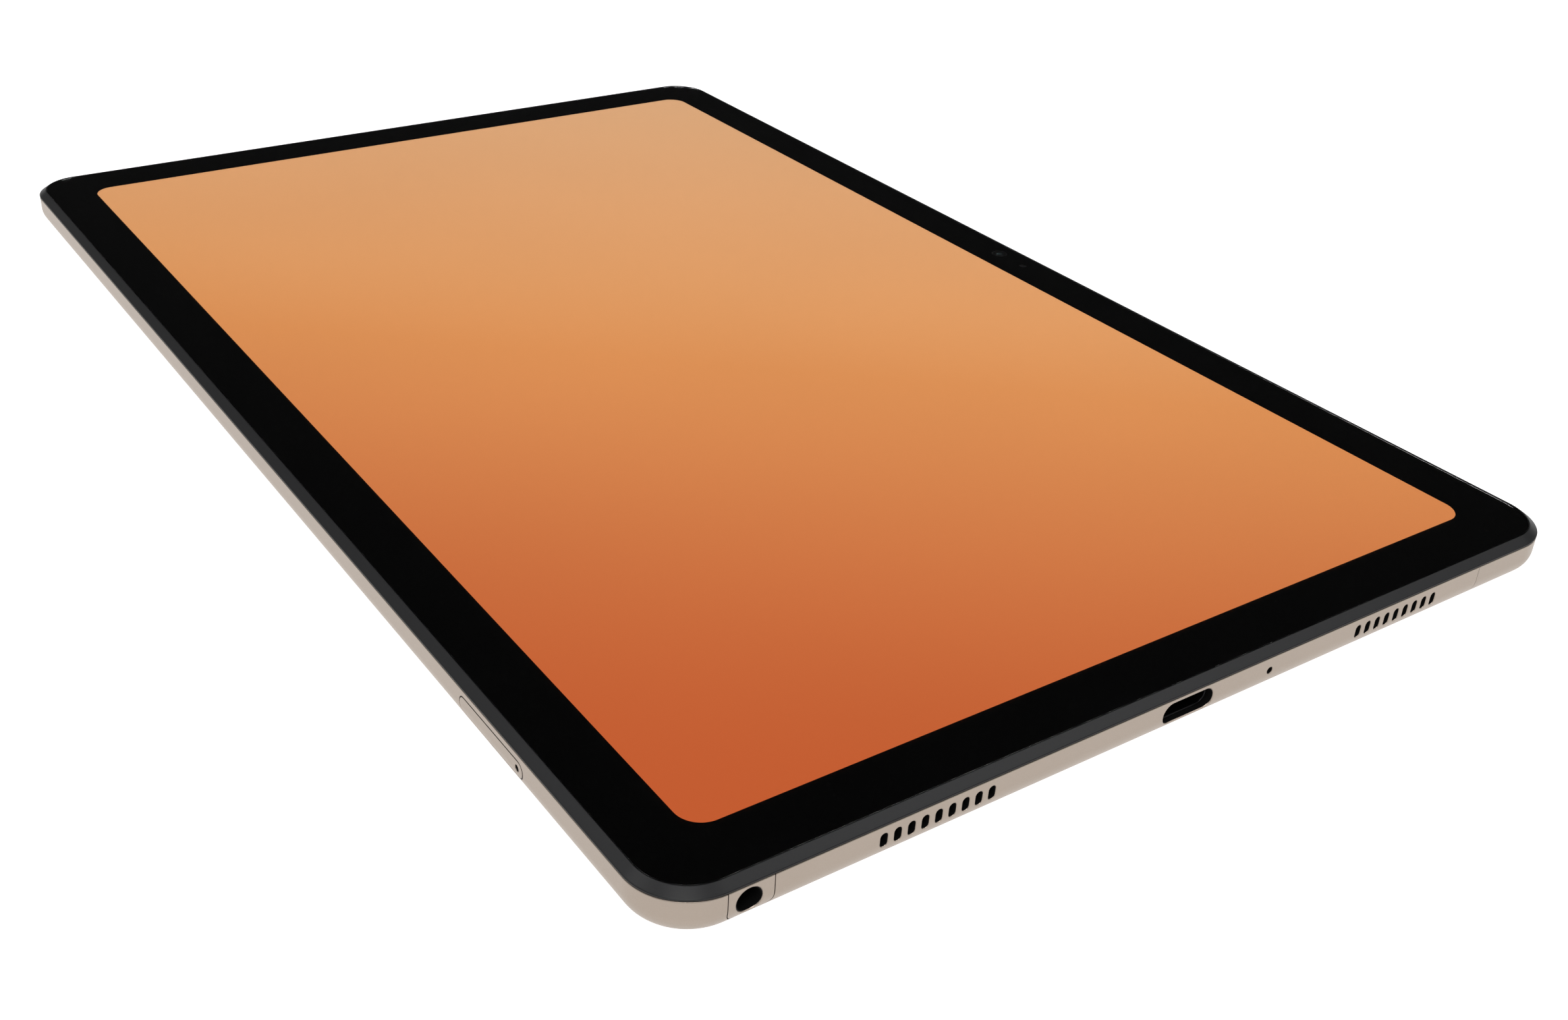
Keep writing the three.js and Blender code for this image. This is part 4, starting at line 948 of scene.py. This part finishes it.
# ---------------------------------------------------------------- card tray
# The tray's face is milled from the same aluminium as the housing and sits flush in the wall. Behind it a
# thin frame holds the memory card. A pin pushed into the hole drives the tray out.
face_depth = 1.5 * mm
face_back = -half_y + face_depth
tray_face = lofted(
    "card_tray_drawer",
    [outline(inset, z) for inset, z in arc(edge_radius, edge_radius, edge_radius, -90, 0, 18)]
    + [outline(0, housing_top)],
)
face_shape = pill(tray_length, tray_height, tray_x, tray_z)
face_prism = lofted(
    "face_prism",
    [[to_wall("-Y", reach, a, z) for a, z in face_shape(0)] for reach in (half_y + 1 * mm, -face_back)],
)
cut(tray_face, [face_prism], "INTERSECT")
pin_inset = 1.4 * mm
pin_bore = 0.95 * mm
pin_hole = pill(pin_bore, pin_bore, tray_high.x - pin_inset, tray_z, 12)
cut(tray_face, [hole("-Y", pin_hole, -face_back - 1 * mm, 0.06 * mm)])

arm_left = tray_low.x + 1.2 * mm
card_width, card_length, card_depth, card_window = 11.1 * mm, 15.2 * mm, 0.75 * mm, 8.0 * mm
rail, cross = 0.55 * mm, 0.5 * mm
arm_right = arm_left + card_width + 2 * rail
arm_back = tray_high.y
arm_half = 0.6 * mm
arm_round = 0.8 * mm


def rounded_plate(name, low, high, radius, edge_break=0.0):
    """A flat plate with round corners in plan and broken upper and lower edges."""
    rings = []
    for z, inset in (
        (low[2], edge_break),
        (low[2] + edge_break, 0),
        (high[2] - edge_break, 0),
        (high[2], edge_break),
    ):
        ring = []
        for corner, (x, y) in enumerate(
            (
                (high[0] - radius, high[1] - radius),
                (low[0] + radius, high[1] - radius),
                (low[0] + radius, low[1] + radius),
                (high[0] - radius, low[1] + radius),
            )
        ):
            for step in range(7):
                angle = math.radians(90 * (corner + step / 6))
                away = radius - inset
                ring.append((x + away * math.cos(angle), y + away * math.sin(angle), z))
        rings.append(ring)
    return lofted(name, rings)


arm = rounded_plate(
    "arm",
    (arm_left, face_back - 0.4 * mm, tray_z - arm_half),
    (arm_right, arm_back, tray_z + arm_half),
    arm_round,
    0.1 * mm,
)
pocket_back = arm_back - cross
pocket_middle = pocket_back - card_length / 2
card_middle = (arm_left + arm_right) / 2
pocket = rounded_plate(
    "pocket",
    (card_middle - card_width / 2, pocket_back - card_length, tray_z + arm_half - card_depth),
    (card_middle + card_width / 2, pocket_back, tray_z + arm_half + 1 * mm),
    0.5 * mm,
)
window = rounded_plate(
    "window",
    (card_middle - card_window / 2, pocket_middle - card_window / 2, 0),
    (card_middle + card_window / 2, pocket_middle + card_window / 2, housing_top),
    1.0 * mm,
)
cut(arm, [pocket, window])
cut(tray_face, [arm], "UNION")
smooth(tray_face, skin=True)
tray_face.data.materials.clear()
tray_face.data.materials.append(anodised)
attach(tray_face, "card_tray")
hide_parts("card_tray")

# A black rubber ring sits in the seam round the tray: painted shade, standing in for the shadow in the gap,
# so the seam shows as a dark line. The pin hole has a black sleeve, painted shade in the hole.
shade_ring_start, shade_ring_depth = 0.05 * mm, 0.7 * mm
rings = []
for grow, depth in (
    (-0.02 * mm, shade_ring_start),
    (tray_gap - 0.015 * mm, shade_ring_start),
    (tray_gap - 0.015 * mm, shade_ring_depth),
    (-0.02 * mm, shade_ring_depth),
):
    rings.append([to_wall("-Y", half_y - skin_inset(z) - depth, a, z) for a, z in face_shape(grow)])
seam_shade_ring = lofted("card_tray_seam_shade", rings, joined=True)
pin_hole_shade_sleeve = sleeve("-Y", pin_hole, 0.07 * mm, -face_back + 0.05 * mm, 0.06 * mm)
merge(seam_shade_ring.data, [pin_hole_shade_sleeve])
smooth(seam_shade_ring)
seam_shade_ring.data.materials.append(rubber)
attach(seam_shade_ring, "card_tray")

# ---------------------------------------------------------------- power and volume keys
# Each key is milled aluminium with a polished round on its edge. A wide foot behind the wall keeps it in,
# and pads under the foot press the snap domes.
flange_outer = inner_y - 0.6 * mm
flange_inner = flange_outer - 0.9 * mm
flange_extra = 0.6 * mm
flange_half = 1.1 * mm
nub_width, nub_half = 1.6 * mm, 0.6 * mm
nub_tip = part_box("power_dome")[1].y + 0.3 * mm
dome_rows = {"power_button": ["power_dome"], "volume_rocker": ["volume_up_dome", "volume_down_dome"]}
for key, length in key_lengths.items():
    low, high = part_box(key)
    spot = middle(key)
    shape = pill(length, key_height, spot.x, spot.z, 14)
    round_edge = 0.3 * mm
    rings = [[to_wall("+Y", flange_outer - 0.2 * mm, a, z) for a, z in shape(0)]]
    for step in range(7):
        angle = math.radians(15 * step)
        reach = high.y - round_edge * (1 - math.sin(angle))
        rings.append(
            [to_wall("+Y", reach, a, z) for a, z in shape(-round_edge * (1 - math.cos(angle)))]
        )
    # A shallow dish across the face finds the fingertip.
    rings.append([to_wall("+Y", high.y - 0.02 * mm, a, z) for a, z in shape(-round_edge - 0.15 * mm)])
    cap = lofted(key + "_cap", rings)
    foot = rounded_plate(
        "foot",
        (spot.x - length / 2 - flange_extra, flange_inner, spot.z - flange_half),
        (spot.x + length / 2 + flange_extra, flange_outer, spot.z + flange_half),
        0.2 * mm,
        0.15 * mm,
    )
    joined = [foot]
    pads = [(middle(dome).x, nub_width, nub_tip) for dome in dome_rows[key]]
    if key == "volume_rocker":
        pads.append((spot.x, 0.6 * mm, low.y))
    for x, width, tip in pads:
        joined.append(
            rounded_plate(
                "pad",
                (x - width / 2, tip, spot.z - nub_half),
                (x + width / 2, flange_inner + 0.2 * mm, spot.z + nub_half),
                0.15 * mm,
                0.1 * mm,
            )
        )
    cut(cap, joined, "UNION")
    smooth(cap, angle=35)
    cap.data.materials.clear()
    cap.data.materials.append(anodised)
    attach(cap, key)
    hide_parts(key)

# ---------------------------------------------------------------- rear camera
# A turned aluminium ring bonded flush in the back, with a window glass let into it. Behind the glass the
# lens barrel hangs in its module and moves to focus.
ring_low, ring_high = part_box("rear_camera_ring")
bezel_inner = 3.4 * mm
bezel = pillar(
    "rear_camera_bezel",
    ring_spot.x,
    ring_spot.y,
    [
        (ring_radius, ring_high.z),
        (ring_radius, ring_low.z + 0.12 * mm),
        (ring_radius - 0.04 * mm, ring_low.z + 0.04 * mm),
        (ring_radius - 0.14 * mm, ring_low.z),
        (ring_radius - 0.45 * mm, ring_low.z),
        (ring_radius - 0.50 * mm, ring_low.z + 0.04 * mm),
        (ring_radius - 0.55 * mm, ring_low.z),
        (bezel_inner + 0.2 * mm, ring_low.z),
        (bezel_inner, ring_low.z + 0.2 * mm),
        (bezel_inner, ring_high.z),
    ],
    joined=True,
)
smooth(bezel, angle=40)

# Turned and anodised: the housing's beige with a brighter cut, in rings 0.08 mm apart.
spun, tree = new_finish("turned_anodised_aluminium")
place = add_node(tree, "TexCoord").outputs["Object"]
centred = add_node(
    tree, "Mapping", {"Location": (-ring_spot.x, -ring_spot.y, 0)}, {"Vector": place}
)
rounds = add_node(
    tree,
    "TexWave",
    {"wave_type": "RINGS", "rings_direction": "Z", "Scale": 1 / (0.08 * mm) / 20, "Distortion": 0.4},
    {"Vector": centred.outputs[0]},
)
polish = spread(tree, rounds.outputs["Fac"], 0.2, 0.34)
relief = bumps(tree, rounds.outputs["Fac"], 0.3, 0.003 * mm)
surface(tree, {"Base Color": linear("#BFAFA0"), "Metallic": 1.0}, {"Roughness": polish, "Normal": relief})
bezel.data.materials.append(spun)
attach(bezel, "tablet")
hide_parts("rear_camera_ring")

pane_low, pane_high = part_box("rear_camera_glass")
pane_radius = (pane_high.x - pane_low.x) / 2
pane = pillar(
    "rear_camera_window",
    ring_spot.x,
    ring_spot.y,
    [
        (0.8 * mm, pane_low.z),
        (pane_radius - 0.1 * mm, pane_low.z),
        (pane_radius, pane_low.z + 0.08 * mm),
        (pane_radius, pane_high.z - 0.02 * mm),
        (pane_radius - 0.02 * mm, pane_high.z),
    ],
)
smooth(pane, angle=30)

# Tinted optical glass: clear with a smoky blue coating that shows as a faint colour at a slant.
smoky, tree = new_finish("coated_camera_glass")
coating = noise(tree, 4 * mm)
tint = blended(tree, coating, "#C6CCD8", "#D4D8E2")
surface(tree, {"Roughness": 0.0, "IOR": 1.52, "Transmission Weight": 1.0}, {"Base Color": tint})
pane.data.materials.append(smoky)
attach(pane, "tablet")
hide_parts("rear_camera_glass")

barrel_low, barrel_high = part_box("rear_lens_barrel")
barrel_radius = (barrel_high.x - barrel_low.x) / 2
lens_radius = 1.1 * mm
profile = [(barrel_radius, barrel_high.z - 0.1 * mm), (barrel_radius, barrel_low.z + 0.15 * mm)]
profile += [(barrel_radius - 0.15 * mm, barrel_low.z)]
for ridge in range(4):
    # Steps that trap stray light run down to the front lens.
    radius = barrel_radius - 0.45 * mm - ridge * 0.28 * mm
    depth = barrel_low.z + ridge * 0.1 * mm
    profile += [(radius, depth), (radius - 0.02 * mm, depth + 0.1 * mm)]
for step in range(7):
    angle = math.radians(90 * step / 6)
    radius = lens_radius * math.cos(angle)
    profile.append((max(radius, 0.02 * mm), barrel_low.z + 0.45 * mm - 0.25 * mm * math.sin(angle)))
profile = profile[::-1] + [(barrel_radius - 0.1 * mm, barrel_high.z)]
barrel = pillar("rear_camera_lens", ring_spot.x, ring_spot.y, profile, 48)
smooth(barrel, angle=35)


def distance_from(tree, spot):
    """How far a point lies from the upright axis through a spot."""
    place = add_node(tree, "TexCoord").outputs["Object"]
    moved = {"Location": (-spot.x, -spot.y, 0), "Scale": (1, 1, 0)}
    centred = add_node(tree, "Mapping", moved, {"Vector": place}).outputs[0]
    return add_node(tree, "VectorMath", {"operation": "LENGTH"}, {0: centred}).outputs["Value"]


# Black anodised barrel with a coated lens at its heart: the lens is deep violet-blue and glossy, the
# ridges round it are matt.
lens_coat, tree = new_finish("black_barrel_and_coated_lens")
out = distance_from(tree, ring_spot)
lens_edge = add_node(
    tree,
    "MapRange",
    {"From Min": lens_radius - 0.02 * mm, "From Max": lens_radius + 0.02 * mm},
    {"Value": out},
)
tone = blended(tree, lens_edge.outputs[0], "#0B0A22", "#0A0A0A")
gloss = spread(tree, lens_edge.outputs[0], 0.05, 0.6)
surface(tree, {"IOR": 1.6}, {"Base Color": tone, "Roughness": gloss})
barrel.data.materials.append(lens_coat)
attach(barrel, "rear_lens")
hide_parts("rear_lens_barrel")

# ---------------------------------------------------------------- front camera and light sensor
# A small camera looks out through a window in the border: a black cone of ridges round a coated lens,
# just visible. The light sensor beside it is a dark chip behind a smaller window.
eye_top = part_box("front_camera")[1].z
eye_radius = 1.35 * mm
# The lens dome's radius, also the size of the glint painted on it.
dome_and_painted_glint_radius = 0.55 * mm
profile = [(eye_radius, eye_top + 0.002 * mm), (eye_radius, eye_top + 0.03 * mm)]
profile += [(1.0 * mm, eye_top + 0.03 * mm), (0.95 * mm, eye_top + 0.015 * mm)]
profile += [(0.62 * mm, eye_top + 0.012 * mm), (dome_and_painted_glint_radius, eye_top + 0.012 * mm)]
for step in range(1, 6):
    angle = math.radians(90 * step / 6)
    profile.append((dome_and_painted_glint_radius * math.cos(angle), eye_top + (0.012 + 0.025 * math.sin(angle)) * mm))
profile.append((0.01 * mm, eye_top + 0.037 * mm))
eye = pillar("front_camera_lens", camera_window.x, camera_window.y, profile, 40)
smooth(eye, angle=35)

# Lens in a black mount: the lens dome is painted a dim blue-green, a painted glint on the black.
mount, tree = new_finish("front_lens_painted_glint")
out = distance_from(tree, camera_window)
lens_edge = add_node(
    tree,
    "MapRange",
    {"From Min": dome_and_painted_glint_radius - 0.05 * mm, "From Max": dome_and_painted_glint_radius + 0.05 * mm},
    {"Value": out},
)
tone = blended(tree, lens_edge.outputs[0], "#4A5A5C", "#0C0D0D")
surface(tree, {"Roughness": 0.2, "IOR": 1.6}, {"Base Color": tone})
eye.data.materials.append(mount)
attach(eye, "tablet")
carry(lens_coat, "front_camera")

# ---------------------------------------------------------------- screen stack
# Under the glass: black foam tape, the panel, its acrylic light guide, a pressed backlight tray and the
# stamped middle plate that the whole stack lies on.
# Closed-cell foam tape: dead black with bubbles of about 0.25 mm.
foam, tree = new_finish("black_foam_tape")
place = add_node(tree, "TexCoord").outputs["Object"]
bubbles = add_node(tree, "TexVoronoi", {"Scale": 1 / (0.25 * mm)}, {"Vector": place})
tone = blended(tree, bubbles.outputs["Distance"], "#0A0A0A", "#171717")
relief = bumps(tree, bubbles.outputs["Distance"], 0.5, 0.03 * mm)
surface(tree, {"Roughness": 0.9, "Specular IOR Level": 0.2}, {"Base Color": tone, "Normal": relief})
carry(foam, "glass_adhesive")

# Liquid-crystal panel: dark glossy glass with red, green and blue cells 0.12 mm wide.
panel, tree = new_finish("liquid_crystal_panel")
place = add_node(tree, "TexCoord").outputs["Object"]
column = add_node(
    tree,
    "TexWave",
    {"wave_type": "BANDS", "bands_direction": "X", "Scale": 1 / (0.12 * mm) / 20},
    {"Vector": place},
)
tone = blended(tree, column.outputs["Fac"], "#0D0E12", "#1B1A20")
surface(tree, {"Roughness": 0.12, "IOR": 1.52}, {"Base Color": tone})
carry(panel, "lcd_panel")

# Acrylic light guide: milky, glossy, with a grid of 0.8 mm dots that scatter the light.
acrylic, tree = new_finish("dotted_acrylic_light_guide")
place = add_node(tree, "TexCoord").outputs["Object"]
dots = add_node(tree, "TexVoronoi", {"Scale": 1 / (0.8 * mm), "Randomness": 0.0}, {"Vector": place})
tone = blended(tree, dots.outputs["Distance"], "#F4F5F2", "#DDE2E0")
surface(tree, {"Roughness": 0.15, "IOR": 1.49}, {"Base Color": tone})
carry(acrylic, "light_guide")

# Rolled aluminium alloy: pale grey, with rolling lines 0.4 mm apart along the sheet.
alloy, tree = new_finish("rolled_aluminium_sheet")
rolling = streaks(tree, 20 * mm, 0.4 * mm, 3.0)
polish = spread(tree, rolling, 0.34, 0.5)
tone = blended(tree, rolling, "#8E9092", "#A3A5A6")
surface(tree, {"Metallic": 1.0}, {"Base Color": tone, "Roughness": polish})
carry(alloy, "backlight_tray", "mid_plate")

# ---------------------------------------------------------------- battery, boards and ribbons
# Two pouch cells taped to the housing's floor, green boards on standoffs with their parts under shield
# cans, and thin polyimide ribbons and aerials.
# Foil pouch: black laminate, softly creased every 9 mm or so.
foil, tree = new_finish("black_foil_pouch")
place = add_node(tree, "TexCoord").outputs["Object"]
creases = add_node(
    tree, "TexNoise", {"Scale": 1 / (9 * mm), "Detail": 3.0, "Distortion": 0.8}, {"Vector": place}
)
tone = blended(tree, creases.outputs["Fac"], "#26272B", "#303238")
relief = bumps(tree, creases.outputs["Fac"], 0.5, 0.2 * mm)
surface(tree, {"Metallic": 0.6, "Roughness": 0.45}, {"Base Color": tone, "Normal": relief})
carry(foil, "battery_cell_left", "battery_cell_right")

# Solder mask over copper: dark green, glossy, with tracks on a 0.6 mm grid showing lighter.
mask, tree = new_finish("green_solder_mask")
place = add_node(tree, "TexCoord").outputs["Object"]
tracks = add_node(
    tree,
    "TexBrick",
    {
        "Scale": 1.0 / (1.2 * mm),
        "Mortar Size": 0.08,
        "Color1": linear("#0E4A30"),
        "Color2": linear("#115537"),
        "Mortar": linear("#1D7A50"),
    },
    {"Vector": place},
)
relief = bumps(tree, tracks.outputs["Fac"], 0.4, 0.03 * mm)
surface(tree, {"Roughness": 0.35}, {"Base Color": tracks.outputs["Color"], "Normal": relief})
carry(mask, "main_board", "usb_board", "battery_protection_board")

# Epoxy chip package: black and matt, with a 0.15 mm moulding grain.
epoxy, tree = new_finish("black_epoxy_package")
grain = noise(tree, 0.15 * mm)
tone = blended(tree, grain, "#151516", "#1E1E20")
surface(tree, {"Roughness": 0.7}, {"Base Color": tone})
carry(epoxy, "processor_chip", "light_sensor")

# Polyimide ribbon: amber film, glossy, with copper tracks every 0.5 mm showing through.
amber, tree = new_finish("amber_polyimide_ribbon")
place = add_node(tree, "TexCoord").outputs["Object"]
tracks = add_node(
    tree,
    "TexWave",
    {"wave_type": "BANDS", "bands_direction": "X", "Scale": 1 / (0.5 * mm) / 20},
    {"Vector": place},
)
tone = blended(tree, tracks.outputs["Fac"], "#8A4A16", "#B8732C")
surface(tree, {"Roughness": 0.25, "IOR": 1.7}, {"Base Color": tone})
carry(amber, "display_flex", "link_flex", "button_flex", "wifi_antenna_upper", "wifi_antenna_lower")

bpy.context.view_layer.update()
